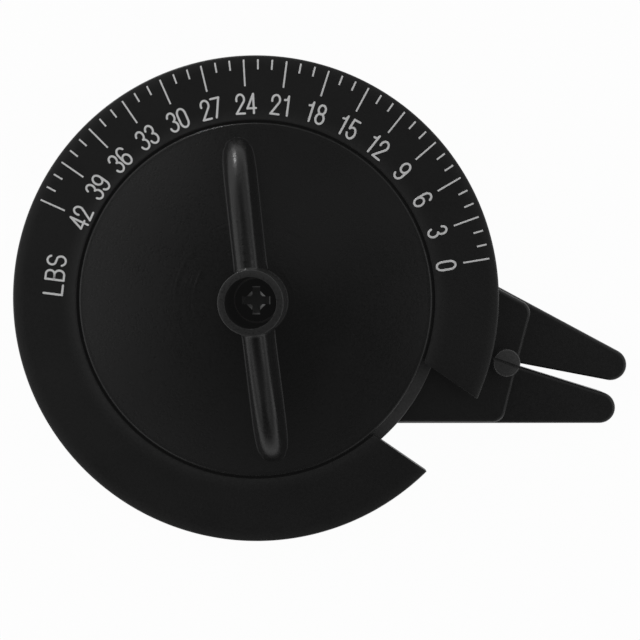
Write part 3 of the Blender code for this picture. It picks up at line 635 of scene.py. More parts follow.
def face_points(start, width, tenths):
    """Points of the face, some tenths of a width away from a start."""
    radii = [start + width * tenth / 10.0 for tenth in tenths]
    return [(radius, face_height(radius)) for radius in radii]


ring_section = round_arc(bore_side, RING_BOTTOM + BORE_EDGE, BORE_EDGE, 180.0, 270.0, 3)
ring_section += round_arc(outer_side, RING_BOTTOM + RING_EDGE, RING_EDGE, 270.0, 360.0, 4)
ring_section += round_arc(outer_side, face_height(outer_side) - RING_EDGE, RING_EDGE, 0.0, 84.0, 4)
ring_section += face_points(outer_side, -EDGE_BAND, range(1, 10))
ring_section += face_points(bore_side, BORE_BAND, range(10, 0, -1))
ring_section += round_arc(bore_side, face_height(bore_side) - BORE_EDGE, BORE_EDGE, 90.0, 180.0, 3)


def swept_ring(section):
    """Sweep a section round the axis, from one parallel side of the notch to the other."""
    bm = bmesh.new()
    rows = []
    for step in range(SWEEP_STEPS + 1):
        row = []
        for radius, height in section:
            half = math.degrees(math.asin(NOTCH_WIDTH / 2.0 / radius))
            degrees = NOTCH_ANGLE + half + (360.0 - 2.0 * half) * step / SWEEP_STEPS
            row.append(bm.verts.new((*polar(radius, degrees), height)))
        rows.append(row)
    edges = list({edge for end in joined(bm, rows) for edge in end.edges})
    bmesh.ops.recalc_face_normals(bm, faces=bm.faces)
    bmesh.ops.bevel(bm, geom=edges, offset=NOTCH_EDGE, offset_type="OFFSET", segments=2, profile=0.5,
                    affect="EDGES")
    return bm


make_piece("ring_of_the_scale", swept_ring(ring_section), ring_plastic, "dial",
           ["scale_ring"])

# %% [markdown]
# ## The dial carrier
#
# Under the ring sits a flanged disc. It shows as a paler band at the bottom of the notch, and from
# behind. It is turned, and then the pockets for the spring's leg, the stop pin and the two screws are
# cut out of it, in the places that the CAD model gives them.

# %% Dial carrier
CARRIER_BOTTOM = 6.3
CARRIER_SHOULDER = 7.5
CARRIER_TOP = 8.7
CARRIER_BORE = 13.6
SPIGOT_RADIUS = 22.9
CARRIER_RADIUS = 24.6
CARRIER_EDGE = 0.15
CARRIER_CHAMFER = 0.3
FIN_ANGLE = 110.6              # direction of the first fin
KNOB_SCREW_REACH = 18.3
KNOB_SCREW_HEAD = 1.9          # radii of the screw's counterbore and of its hole
KNOB_SCREW_HOLE = 1.1
KNOB_SCREW_SEAT = 7.5          # height of the counterbore's end
GROOVE_RADIUS = 15.65          # outer side of the stop pin's groove, which is open inwards
GROOVE_ROOF = 7.3
GROOVE_START = 86.5
GROOVE_END = 265.5
LEG_SLOT_REACH = 17.2          # outer end of the slot for the spring's upper leg
LEG_SLOT_HALF = 0.95
OVERRUN = 1.0                  # how far a cutter runs past the face that it opens

carrier_section = [(CARRIER_BORE, CARRIER_BOTTOM), (CARRIER_RADIUS - CARRIER_CHAMFER, CARRIER_BOTTOM),
                   (CARRIER_RADIUS, CARRIER_BOTTOM + CARRIER_CHAMFER)]
carrier_section += round_arc(CARRIER_RADIUS - CARRIER_EDGE, CARRIER_SHOULDER - CARRIER_EDGE, CARRIER_EDGE,
                             0.0, 90.0, 3)
carrier_section += [(SPIGOT_RADIUS, CARRIER_SHOULDER), (SPIGOT_RADIUS, CARRIER_TOP),
                    (CARRIER_BORE, CARRIER_TOP)]


def knob_screw_places():
    """Axes of the two screws that go up into the fins."""
    return [polar(KNOB_SCREW_REACH, FIN_ANGLE), polar(KNOB_SCREW_REACH, FIN_ANGLE + 180.0)]


def stop_groove():
    """Cutter for the groove in which the stop pin runs, as far as the dial turns."""
    outline = round_arc(0.0, 0.0, GROOVE_RADIUS, GROOVE_START, GROOVE_END, SMALL_STEPS)
    outline += round_arc(0.0, 0.0, CARRIER_BORE - OVERRUN, GROOVE_END, GROOVE_START, SMALL_STEPS)
    return extruded(outline, CARRIER_BOTTOM - OVERRUN, GROOVE_ROOF)


def carrier_screw_hole(place):
    """Cutter for a screw's counterbore and hole."""
    below, above = CARRIER_BOTTOM - OVERRUN, CARRIER_TOP + OVERRUN
    section = [(0.0, below), (KNOB_SCREW_HEAD, below), (KNOB_SCREW_HEAD, KNOB_SCREW_SEAT),
               (KNOB_SCREW_HOLE, KNOB_SCREW_SEAT), (KNOB_SCREW_HOLE, above), (0.0, above)]
    return at(turned(section, SMALL_STEPS), *place)


leg_slot = box((CARRIER_BORE - OVERRUN, -LEG_SLOT_HALF, CARRIER_BOTTOM - OVERRUN),
               (LEG_SLOT_REACH, LEG_SLOT_HALF, CARRIER_TOP + OVERRUN))
carrier_cuts = [leg_slot, stop_groove()] + [carrier_screw_hole(place) for place in knob_screw_places()]
make_piece("carrier_disc", turned(carrier_section), carrier_plastic, "dial",
           ["dial_carrier"], carrier_cuts)

# %% [markdown]
# ## The frame plates
#
# The frame is two plates screwed together. The back plate has a round end and two prongs, and its
# outline is drawn from arcs that meet straight edges exactly where they are tangent. The front plate
# follows the same outline a little inside it, and stops square across the root of the slot. Their edges
# are rounded with a bevel of four segments, which gives the soft light line along the beak.

# %% Outline of the beak
JAW_TOP = 4.5
ARM_BOTTOM = 4.8
ARM_TOP = 6.0
BACK_RADIUS = 16.7
TIP_RADIUS = 2.1
TIP_REACH = 48.1               # centres of the tips, along the beak and to both sides of it
TIP_SPREAD = 2.98
SLOT_LENGTH = 12.1
SLOT_ROOT_REACH = TIP_REACH - SLOT_LENGTH
SLOT_ROOT_RADIUS = 0.19
ARM_INSET = 0.3                # how far the front plate lies inside the back plate
ARM_REACH = 35.7
ARM_CORNER = 1.8
PLATE_EDGE = 0.55              # how far the plates' edges are rounded

# How far the flanks of the beak and the sides of the slot lean from the beak's own direction.
flank = math.degrees(math.asin((BACK_RADIUS - TIP_RADIUS) / math.hypot(TIP_REACH, TIP_SPREAD))
                     - math.atan2(TIP_SPREAD, TIP_REACH))
slope = math.degrees(math.atan2(TIP_SPREAD, SLOT_LENGTH)
                     - math.asin((TIP_RADIUS + SLOT_ROOT_RADIUS) / math.hypot(SLOT_LENGTH, TIP_SPREAD)))
outer, inner, root = 90.0 - flank, 90.0 - slope, 90.0 + slope

jaw_outline = round_arc(0.0, 0.0, BACK_RADIUS, outer, 360.0 - outer, 120)
jaw_outline += round_arc(TIP_REACH, -TIP_SPREAD, TIP_RADIUS, -outer, inner, 28)
jaw_outline += round_arc(SLOT_ROOT_REACH, 0.0, SLOT_ROOT_RADIUS, 360.0 - root, root, 10)
jaw_outline += round_arc(TIP_REACH, TIP_SPREAD, TIP_RADIUS, -inner, outer, 28)

arm_radius = BACK_RADIUS - ARM_INSET
lean = math.radians(flank)
corner_x = ARM_REACH - ARM_CORNER
corner_y = (arm_radius - ARM_CORNER - corner_x * math.sin(lean)) / math.cos(lean)
arm_outline = round_arc(0.0, 0.0, arm_radius, outer, 360.0 - outer, 120)
arm_outline += round_arc(corner_x, -corner_y, ARM_CORNER, -outer, 0.0, 16)
arm_outline += round_arc(corner_x, corner_y, ARM_CORNER, 0.0, outer, 16)
print("beak: flanks lean by", round(flank, 2), "degrees, slot opens by", round(2.0 * slope, 2))

# %% [markdown]
# The hollows inside the back plate hold the spring, the foot of the post and the screws. They don't
# show, but a gauge that is taken apart should have them, so they are cut here too.

# %% Frame plates
WELL_FLOOR = 1.5
WELL_INNER = 9.6
WELL_OUTER = 13.3
LOWER_SLOT_REACH = 15.4        # outer end of the slot for the spring's lower leg
FLANGE_TOP = 3.6
SNOUT_ROOM = 5.8
POCKET_FLATS = 9.6
STOP_PIN_PLACE = (0.0, 14.75)
STOP_PIN_HOLE = 0.9
STOP_PIN_FLOOR = 2.0
THROAT_HOLE = 1.3
THROAT_FLOOR = 1.0
PLATE_SCREW_PLACES = [(19.5, 5.5), (19.5, -5.5)]
PLATE_SCREW_HOLE = 1.1
PLATE_SCREW_HEAD = 2.0         # radius of the countersink's mouth
PLATE_SCREW_NECK = 4.9         # height at which the countersink starts
above_jaw = JAW_TOP + OVERRUN
below_arm = ARM_BOTTOM - OVERRUN
above_arm = ARM_TOP + OVERRUN


def lower_leg_slot():
    """Cutter for the radial slot that holds the spring's lower leg."""
    return box((-LOWER_SLOT_REACH, -LEG_SLOT_HALF, WELL_FLOOR),
               (OVERRUN - WELL_OUTER, LEG_SLOT_HALF, above_jaw))


def countersink(place):
    """Cutter for a countersunk hole in the front plate."""
    section = [(0.0, below_arm), (PLATE_SCREW_HOLE, below_arm), (PLATE_SCREW_HOLE, PLATE_SCREW_NECK),
               (PLATE_SCREW_HEAD, ARM_TOP), (PLATE_SCREW_HEAD, above_arm), (0.0, above_arm)]
    return at(turned(section, SMALL_STEPS), *place)


jaw_cuts = [tube(WELL_INNER, WELL_OUTER, WELL_FLOOR, above_jaw),
            hexagon(POCKET_FLATS, WELL_FLOOR, above_jaw),
            drum(SNOUT_ROOM, FLANGE_TOP, above_jaw), lower_leg_slot(),
            at(drum(STOP_PIN_HOLE, STOP_PIN_FLOOR, above_jaw), *STOP_PIN_PLACE),
            at(drum(THROAT_HOLE, THROAT_FLOOR, above_jaw), *THROAT_PLACE)]
jaw_cuts += [at(drum(PLATE_SCREW_HOLE, WELL_FLOOR, above_jaw), *place) for place in PLATE_SCREW_PLACES]
arm_cuts = [drum(WELL_OUTER, below_arm, above_arm, ROUND_STEPS),
            at(drum(STOP_PIN_HOLE, below_arm, above_arm), *STOP_PIN_PLACE),
            at(drum(THROAT_HOLE, below_arm, above_arm), *THROAT_PLACE)]
arm_cuts += [countersink(place) for place in PLATE_SCREW_PLACES]

jaw_shape = extruded(jaw_outline, 0.0, JAW_TOP)
round_rims(jaw_shape, PLATE_EDGE)
make_piece("back_plate_with_prongs", jaw_shape, frame_plastic, "frame", ["jaw_plate"],
           jaw_cuts)
arm_shape = extruded(arm_outline, ARM_BOTTOM, ARM_TOP)
round_rims(arm_shape, PLATE_EDGE)
make_piece("front_plate", arm_shape, frame_plastic, "frame", ["arm_plate"], arm_cuts)

# %% [markdown]
# ## The knob's body
#
# The knob is one moulding, but it is easiest to draw as two shells that run into each other: a turned
# body, and the two fins. The body's section goes from the hole in the hub round the hidden underside,
# over the rim and up the shallow cone, and through a concave fillet up to the lip of the hub. The rim of
# the hub isn't level: it slopes down outwards, so that it mirrors the lamps on one side only.

# %% Knob body
KNOB_RADIUS = 22.9
KNOB_BOTTOM = 9.0
RIM_TOP = 9.9
RIM_EDGE = 0.4
CONE_RISE = 2.7
CONE_POWER = 1.25
HUB_TOP = 21.5
HUB_HOLE = 3.1
HUB_TOP_RADIUS = 3.97
HUB_FOOT_RADIUS = 4.2
HUB_FILLET = 0.12
HUB_LIP = 0.14                 # roundings of the hub's rim and of its hole
HOLE_LIP = 0.06
HUB_DIP = 0.12                 # how far the rim of the hub slopes down outwards
BUSH_LEDGE = 6.1
BUSH_POCKET = 4.5
SNOUT_RADIUS = 5.2
SNOUT_BOTTOM = 4.2
BOSS_RADIUS = 9.3
BOSS_BOTTOM = 5.6
KNOB_SCREW_END = 9.85          # top of the screw holes under the fins

cone_foot = HUB_FOOT_RADIUS + HUB_FILLET
cone_edge = KNOB_RADIUS - RIM_EDGE
fillet_top = RIM_TOP + CONE_RISE + HUB_FILLET


def cone_height(radius):
    """Height of the shallow cone at a radius."""
    share = min(1.0, max(0.0, (radius - cone_foot) / (cone_edge - cone_foot)))
    return RIM_TOP + CONE_RISE * (1.0 - share ** CONE_POWER)


knob_section = [(HUB_HOLE, BUSH_LEDGE), (BUSH_POCKET, BUSH_LEDGE), (BUSH_POCKET, SNOUT_BOTTOM),
                (SNOUT_RADIUS, SNOUT_BOTTOM), (SNOUT_RADIUS, BOSS_BOTTOM), (BOSS_RADIUS, BOSS_BOTTOM),
                (BOSS_RADIUS, KNOB_BOTTOM), (KNOB_RADIUS, KNOB_BOTTOM)]
knob_section += round_arc(cone_edge, RIM_TOP - RIM_EDGE, RIM_EDGE, 0.0, 90.0, 8)
cone_radii = [cone_edge + (cone_foot - cone_edge) * step / 48.0 for step in range(1, 49)]
knob_section += [(radius, cone_height(radius)) for radius in cone_radii]
knob_section += round_arc(cone_foot, fillet_top, HUB_FILLET, 270.0, 180.0, 10)[1:]
knob_section += round_arc(HUB_TOP_RADIUS - HUB_LIP, HUB_TOP - HUB_DIP - HUB_LIP, HUB_LIP, 0.0, 82.0, 6)
knob_section += round_arc(HUB_HOLE + HOLE_LIP, HUB_TOP - HOLE_LIP, HOLE_LIP, 90.0, 180.0, 4)

screw_holes = [at(drum(KNOB_SCREW_HOLE, KNOB_BOTTOM - OVERRUN, KNOB_SCREW_END), *place)
               for place in knob_screw_places()]
knob_body = make_piece("knob_body", turned(knob_section), knob_plastic, "dial",
                       ["wing_knob"], screw_holes)

# %% [markdown]
# Two parts of the knob are dull: the wall of the deep hole, and the side of the rim, which shows through
# the notch of the ring. Their faces are picked by place and by slope, and take a second material.

# %% Dull faces of the knob
WALL_SLOPE = 0.5               # a face whose normal rises less than this is a wall
RIM_SLOPE = 0.55
HOLE_MARGIN = 0.02


def repaint(piece, material, chosen):
    """Give a second material to the faces that a test chooses by centre, in millimetres, and normal."""
    piece.data.materials.append(material)
    count = 0
    for face in piece.data.polygons:
        if chosen(face.center / MM, face.normal):
            face.material_index = len(piece.data.materials) - 1
            count += 1
    print(piece.name, "has", count, "faces in", material.name)


def in_hub_hole(centre, normal):
    """Whether a face is part of the wall of the hub's hole."""
    return centre.xy.length < HUB_HOLE + HOLE_MARGIN and normal.z < WALL_SLOPE


def on_rim_side(centre, normal):
    """Whether a face is part of the side of the knob's rim."""
    return centre.xy.length > cone_edge and normal.z < RIM_SLOPE


repaint(knob_body, bore_plastic, in_hub_hole)
repaint(knob_body, bore_plastic, on_rim_side)

# %% [markdown]
# ## The fins
#
# Seen from the side a fin's ridge is a quarter of an ellipse. Across, the ridge is half an ellipse too,
# between two flat flanks that lean in towards it. What makes the fin look moulded and not glued on is
# the small fillet all along its foot, which runs out at its nose.
#
# A bevel can't do that on a Boolean's ragged edge. So the fillet is worked out point by point: a skin
# point that lies closer to the body than the fillet's radius is pushed outwards along the body, by just
# as much as a rolling ball would leave. At the body's face itself it has moved by the whole radius, and
# there the skin meets the body as a tangent.

# %% Distance from the knob's body
FIN_REACH = 20.95
FIN_FOOT = 10.2
FIN_RISE = 10.6
FIN_FOOT_HALF = 2.13           # half widths of the fin, at its foot and where the ridge starts
RIDGE_HALF = 1.46
RIDGE_DEPTH = 1.5              # from the ridge down to where the flanks become flat
NOSE_DEPTH = 0.9               # the same at the nose, where it is measured along the fin
NOSE_POWER = 12.0              # how late the foot narrows towards the nose
FLANK_FILLET = 0.25
NOSE_FILLET = 0.08
FIN_SINK = 0.25                # how far the shell's edge dips into the body
PROBE = 0.001                  # step by which slopes are tried out


def body_distance(point):
    """Distance from a point to the outside of the turned body."""
    radius = math.hypot(point.x, point.y)
    if radius < cone_foot and point.z < fillet_top:
        return HUB_FILLET - math.hypot(cone_foot - radius, fillet_top - point.z)
    draft = (point.z - fillet_top) / (HUB_TOP - fillet_top)
    wall = HUB_FOOT_RADIUS + (HUB_TOP_RADIUS - HUB_FOOT_RADIUS) * draft
    return min(point.z - cone_height(radius), radius - wall)


def away_from_body(point):
    """Direction in which the distance from the body grows, by trying three small steps."""
    here = body_distance(point)
    steps = [Vector((PROBE, 0.0, 0.0)), Vector((0.0, PROBE, 0.0)), Vector((0.0, 0.0, PROBE))]
    return Vector([body_distance(point + step) - here for step in steps]).normalized()


print("distance at the rim:", round(body_distance(Vector((20.0, 0.0, 12.0))), 3), "mm")

# %% [markdown]
# The skin is a net. A lane is a line that runs the length of the fin: lane 0 is one foot, lane 1 the
# ridge and lane 2 the other foot. The turn says how far along its lane a point is.

# %% Skin of a fin
FLANK_LANES = 0.5              # lanes below this one lie on the flat flank


def skin_point(lane, turn):
    """A point of the fin without fillets. turn is 0 at the outer end and a quarter above the axis."""
    climb = min(lane, 2.0 - lane)
    shrink = min(climb / FLANK_LANES, 1.0)
    tilt = math.pi / 2.0 * min((1.0 - climb) / (1.0 - FLANK_LANES), 1.0)
    drop = 1.0 - math.cos(tilt)
    climbed = shrink * math.sin(turn)
    along = shrink * math.cos(turn)
    share = climbed / math.sqrt(max(1.0 - along ** 2, PROBE))
    narrowing = math.sqrt(max(1.0 - abs(along) ** NOSE_POWER, 0.0))
    half = RIDGE_HALF + (FIN_FOOT_HALF - RIDGE_HALF) * (1.0 - share) * narrowing * (shrink < 1.0)
    across = math.copysign(half * math.sin(tilt), 1.0 - lane)
    return Vector(((FIN_REACH - NOSE_DEPTH * drop) * along, across,
                   FIN_FOOT + (FIN_RISE - RIDGE_DEPTH * drop) * climbed))


def skin_normal(lane, turn):
    """The skin's outward normal, from small steps along its lane and across it."""
    along = skin_point(lane, turn + PROBE) - skin_point(lane, turn - PROBE)
    across = skin_point(lane + PROBE, turn) - skin_point(lane - PROBE, turn)
    return along.cross(across).normalized()


def moulded_point(lane, turn, sink=0.0):
    """A point of the fin with its fillets."""
    point = skin_point(lane, turn)
    fillet = FLANK_FILLET + (NOSE_FILLET - FLANK_FILLET) * (abs(point.x) / FIN_REACH) ** 8
    gap = max(0.0, body_distance(point))
    if gap < fillet or sink:
        away = away_from_body(point)
        outwards = skin_normal(lane, turn)
        aside = (outwards - away * outwards.dot(away)).normalized()
        push = fillet - math.sqrt(fillet ** 2 - (fillet - min(gap, fillet)) ** 2)
        point = point + aside * (push + 0.5 * sink)
        point = point + away_from_body(point) * (gap - body_distance(point) - sink)
    return point


def leaving_turn(lane, low, high):
    """The turn at which a lane leaves the body, by halving. It is outside the body at high."""
    for _ in range(40):
        middle = (low + high) / 2.0
        if body_distance(skin_point(lane, middle)) > 0.0:
            high = middle
        else:
            low = middle
    return high


print("ridge at mid length:", [round(value, 2) for value in skin_point(1.0, 1.0)])

# %% [markdown]
# Each lane starts where it comes out of the cone and ends where it goes into the hub. Its points lie
# closer together towards both ends, where the fillets are.

# %% Net of a fin
RIDGE_LANES = 24
LOWER_LANES = 22
LANE_STEPS = 110


def farthest(lane):
    """The turn at which a lane is farthest from the body."""
    turns = [math.pi / 2.0 * step / 200.0 for step in range(201)]
    return max(turns, key=lambda turn: body_distance(skin_point(lane, turn)))


def lowest_lane():
    """The lane that only just comes out of the body, at the corner of fin, cone and hub."""
    low, high = 0.05, FLANK_LANES
    for _ in range(30):
        middle = (low + high) / 2.0
        if body_distance(skin_point(middle, farthest(middle))) > 0.02:
            high = middle
        else:
            low = middle
    return high


def all_lanes():
    """The lanes of the net, from one foot over the ridge to the other foot."""
    low = lowest_lane()
    half = [low + (FLANK_LANES - low) * step / LOWER_LANES for step in range(LOWER_LANES)]
    half += [FLANK_LANES + (1.0 - FLANK_LANES) * step / RIDGE_LANES for step in range(RIDGE_LANES + 1)]
    return half + [2.0 - lane for lane in reversed(half[:-1])]


def fin_net():
    """Rows of points, one row for each lane, with a sunk edge all round."""
    rows = []
    lanes = all_lanes()
    for number, lane in enumerate(lanes):
        peak = farthest(lane)
        start = leaving_turn(lane, -0.1, peak)
        end = leaving_turn(lane, math.pi / 2.0, peak)
        turns = [start + (end - start) * (1.0 - math.cos(math.pi * step / LANE_STEPS)) / 2.0
                 for step in range(LANE_STEPS + 1)]
        row = [moulded_point(lane, start, FIN_SINK)]
        row += [moulded_point(lane, turn) for turn in turns]
        row += [moulded_point(lane, end, FIN_SINK)]
        if number in (0, len(lanes) - 1):
            sunk = [moulded_point(lane, turn, FIN_SINK) for turn in [start] + turns + [end]]
            rows += [sunk, row] if number == 0 else [row, sunk]
        else:
            rows.append(row)
    return rows


def both_fins():
    """The net turned into two closed shells, one on each side of the hub."""
    bm = bmesh.new()
    net = fin_net()
    for half_turn in (0.0, 180.0):
        spin = Matrix.Rotation(math.radians(FIN_ANGLE + half_turn), 4, "Z")
        verts = [[bm.verts.new(spin @ point) for point in row] for row in net]
        for first, second in zip(verts, verts[1:]):
            for index in range(1, len(first)):
                bm.faces.new((first[index - 1], first[index], second[index], second[index - 1]))
    bmesh.ops.holes_fill(bm, edges=bm.edges, sides=0)
    return bm


make_piece("knob_fins", both_fins(), knob_plastic, "dial", ["wing_knob"])

# %% [markdown]
# ## The two screws that show
#
# The screw at the root of the string slot is the index of the scale: its slot is the line that the ring
# is read against. The screw deep in the hub has a cross recess with slanted walls. Both are turned and
# then cut, and their edges are broken by small arcs, because a real screw never has a sharp edge. The
# driver has rubbed the walls and the floor of the cross, so they take brighter materials than the head,
# and the walls also carry painted glints, a faint glow along their edges.

# %% Throat screw
HEAD_BOTTOM = 6.3
HEAD_TOP = 9.0
HEAD_RADIUS = 1.77
HEAD_EDGE = 0.15
THREAD_RADIUS = 1.0
SCREW_END = 1.3
SLOT_WIDTH = 0.35
SLOT_DEPTH = 0.7
SLOT_ANGLE = -5.6
SCREW_STEPS = 96

head_edge = round_arc(HEAD_RADIUS - HEAD_EDGE, HEAD_TOP - HEAD_EDGE, HEAD_EDGE, 0.0, 90.0, 4)
throat_section = [(0.0, SCREW_END), (THREAD_RADIUS, SCREW_END), (THREAD_RADIUS, HEAD_BOTTOM),
                  (HEAD_RADIUS, HEAD_BOTTOM)] + head_edge + [(0.0, HEAD_TOP)]
slot_low = (-HEAD_RADIUS - OVERRUN, -SLOT_WIDTH / 2.0, HEAD_TOP - SLOT_DEPTH)
slot_high = (HEAD_RADIUS + OVERRUN, SLOT_WIDTH / 2.0, HEAD_TOP + OVERRUN)
make_piece("index_screw", at(turned(throat_section, SCREW_STEPS), *THROAT_PLACE), throat_steel, "frame",
           ["throat_screw"], [at(box(slot_low, slot_high), *THROAT_PLACE, SLOT_ANGLE)])

# %% Centre screw
PAN_BOTTOM = 7.0
PAN_TOP = 8.9
PAN_RADIUS = 2.8
PAN_EDGE = 0.95                # how far the head is rounded
CROSS_TIP = 1.83               # from the axis to the end of a wing of the cross
BORE_END = 2.7
SHANK_RADIUS = 1.45
CROSS_TURN = 14.0
CROSS_DEPTH = 1.0
WING_HALF = 0.52
CORNER_REACH = 1.24
WING_SLANT = 0.14              # how far the ends of the wings come in from the mouth to the floor
CORNER_SLANT = 0.32            # the same for the corners between the wings
NEARLY = 0.05                  # how far off a slope or a height may be


def cross_outline(depth):
    """Outline of the cross recess at a depth below its mouth."""
    tip = CROSS_TIP - WING_SLANT * depth / CROSS_DEPTH
    shoulder = (CORNER_REACH - CORNER_SLANT * depth / CROSS_DEPTH) * math.sqrt(2.0) - WING_HALF
    corners = [(tip, -WING_HALF), (tip, WING_HALF), (shoulder, WING_HALF), (WING_HALF, shoulder)]
    outline = []
    for quarter in range(4):
        spin = Matrix.Rotation(math.radians(90.0 * quarter), 2)
        outline += [spin @ Vector(corner) for corner in corners]
    return outline


def cross_cutter():
    """A cross that narrows towards its floor."""
    bm = bmesh.new()
    joined(bm, [[bm.verts.new((*point, PAN_TOP - depth)) for point in cross_outline(depth)]
                for depth in (CROSS_DEPTH, -OVERRUN)])
    return at(bm, 0.0, 0.0, CROSS_TURN)


pan_edge = round_arc(PAN_RADIUS - PAN_EDGE, PAN_TOP - PAN_EDGE, PAN_EDGE, 0.0, 90.0, 8)
centre_section = [(0.0, BORE_END), (SHANK_RADIUS, BORE_END), (SHANK_RADIUS, PAN_BOTTOM),
                  (PAN_RADIUS, PAN_BOTTOM)] + pan_edge + [(0.0, PAN_TOP)]
centre_screw = make_piece("hub_screw", turned(centre_section, SCREW_STEPS), centre_steel, "frame",
                          ["centre_screw"], [cross_cutter()])


def on_cross_wall(centre, normal):
    """Whether a face is one of the slanted walls of the cross."""
    return centre.xy.length < CROSS_TIP and NEARLY < normal.z < WALL_SLOPE


def on_cross_floor(centre, _):
    """Whether a face is part of the floor of the cross."""
    return centre.xy.length < CROSS_TIP and abs(centre.z - PAN_TOP + CROSS_DEPTH) < NEARLY


# The walls of the cross take the steel with painted glints.
repaint(centre_screw, painted_glint_steel, on_cross_wall)
repaint(centre_screw, recess_steel, on_cross_floor)

# %% [markdown]
# ## The print
#
# The scale counts from 0 to 42 with a long mark at every third number. The print is a skin of ink only
# two hundredths of a millimetre thick. It could be a painted mask, but real strokes stay sharp from any
# distance, so every mark is a thin ribbon with slightly rounded edges, drawn by a pen of constant width.
# The digits are drawn here from arcs and straight lines, as on a drawing board.

# %% Pen
INK_HEIGHT = 0.02
INK_ROOT = -0.02               # the ribbon's edges dip into the ring
ACROSS = [(-1.0, INK_ROOT), (-0.86, 0.8 * INK_HEIGHT), (0.0, INK_HEIGHT), (0.86, 0.8 * INK_HEIGHT),
          (1.0, INK_ROOT)]
CAP = [0.4, 0.75, 0.95]        # stations of a round end, as shares of the pen's radius
STROKE_PARTS = 8               # parts of a straight stroke, so that it follows the ring's face


def directions(points, closed):
    """Direction of travel at each point of a stroke."""
    found = []
    last = len(points) - 1
    for index, point in enumerate(points):
        before = points[index - 1] if index > 0 or closed else point
        after = points[(index + 1) % len(points)] if index < last or closed else point
        found.append((after - before).normalized())
    return found


def stations(points, radius, closed, round_ends):
    """Centres, directions and half widths along a stroke, with its ends rounded."""
    heads = directions(points, closed)
    found = [(point, head, radius) for point, head in zip(points, heads)]
    if closed or not round_ends:
        return found
    start = [(points[0] - heads[0] * radius * share, heads[0], radius * math.sqrt(1.0 - share ** 2))
             for share in reversed(CAP)]
    end = [(points[-1] + heads[-1] * radius * share, heads[-1], radius * math.sqrt(1.0 - share ** 2))
           for share in CAP]
    return start + found + end


def stroke(bm, points, pen, closed=False, round_ends=True):
    """Lay one ribbon of ink on the ring's face, through points of its plane."""
    points = [Vector(point) for point in points]
    if len(points) == 2:
        points = [points[0].lerp(points[1], part / STROKE_PARTS) for part in range(STROKE_PARTS + 1)]
    rows = []
    for centre, head, radius in stations(points, pen / 2.0, closed, round_ends):
        aside = Vector((-head.y, head.x))
        spots = [(centre + aside * radius * share, height) for share, height in ACROSS]
        rows.append([bm.verts.new((*spot, face_height(spot.length) + height)) for spot, height in spots])
    joined(bm, rows, closed)


print("a ribbon is", len(ACROSS), "points across")

# %% [markdown]
# The print isn't quite centred on the ring: it sits 0.45 mm too high in the picture, as a printed part
# often does. All marks are placed from the print's own centre.

# %% Marks of the scale
PRINT_SHIFT = picture_right * 0.09 + picture_up * 0.45
SCALE_START = PICTURE_TURN + 9.38
SCALE_PITCH = 3.4844           # degrees for one mark
SCALE_END = 42
MARK_OUTER = 30.48
LONG_MARK = 3.4
SHORT_MARK = 1.28
MARK_PEN = 0.24


def on_print(radius, degrees):
    """A point of the print, from its own centre."""
    return Vector(polar(radius, degrees)) + PRINT_SHIFT.xy


marks = bmesh.new()
for number in range(SCALE_END + 1):
    degrees = SCALE_START + SCALE_PITCH * number
    length = SHORT_MARK if number % 3 else LONG_MARK
    stroke(marks, [on_print(MARK_OUTER - length, degrees), on_print(MARK_OUTER, degrees)], MARK_PEN,
           round_ends=False)
make_piece("scale_marks", marks, ink, "dial")

# %% Digits and letters
HALF = 0.52                    # half the width of a digit, to the middle of the stroke
TALL = 2.44
UPPER = 0.60                   # radii of the bowls
LOWER = 0.68
GLYPH_STEPS = 20


def oval(x, y, rx, ry, start=0.0, end=360.0):
    """An arc of a glyph."""
    return bow((x, y), (rx, ry), start, end, GLYPH_STEPS)


# A glyph is a list of paths, each with a word whether it is closed.
six = [(oval(0.0, LOWER, HALF, LOWER)[:-1], True),
       (oval(0.0, TALL - 0.68, HALF, 0.68, 22.0, 180.0) + [(-HALF, LOWER)], False)]
GLYPHS = {
    "0": [(oval(0.0, TALL - 0.72, HALF, 0.72, 0.0, 180.0)
           + oval(0.0, 0.72, HALF, 0.72, 180.0, 360.0), True)],
    "1": [([(-0.30, TALL - 0.50), (-0.06, TALL - 0.46), (0.10, TALL - 0.30), (0.17, TALL)], False),
          ([(0.17, TALL), (0.17, 0.0)], False)],
    "2": [(oval(0.0, TALL - 0.62, 0.50, 0.62, 197.0, -28.0), False),
          ([oval(0.0, TALL - 0.62, 0.50, 0.62, 197.0, -28.0)[-1], (-HALF, 0.0)], False),
          ([(-HALF, 0.0), (HALF, 0.0)], False)],
    "3": [(oval(0.0, TALL - UPPER, 0.47, UPPER, 168.0, -72.0), False),
          (oval(0.0, LOWER - 0.03, HALF, LOWER - 0.03, 76.0, -168.0), False)],
    "4": [([(0.26, 0.0), (0.26, TALL)], False), ([(0.26, TALL), (-0.55, 0.63)], False),
          ([(-0.55, 0.63), (0.53, 0.63)], False)],
    "5": [([(0.44, TALL), (-0.36, TALL)], False), ([(-0.36, TALL), (-0.44, 1.22)], False),
          (oval(0.0, 0.72, HALF, 0.74, 142.0, -165.0), False)],
    "6": six,
    "7": [([(-HALF, TALL), (HALF, TALL)], False), ([(HALF, TALL), (-0.25, 0.0)], False)],
    "8": [(oval(0.0, TALL - 0.58, 0.45, 0.58)[:-1], True), (oval(0.0, 0.66, HALF, 0.66)[:-1], True)],
    "9": [([(-x, TALL - y) for x, y in path], closed) for path, closed in six],
}
print("glyphs:", "".join(GLYPHS))

# %% Numerals
DIGIT_RADIUS = 24.83
DIGIT_PITCH = 1.43
DIGIT_PEN = 0.30


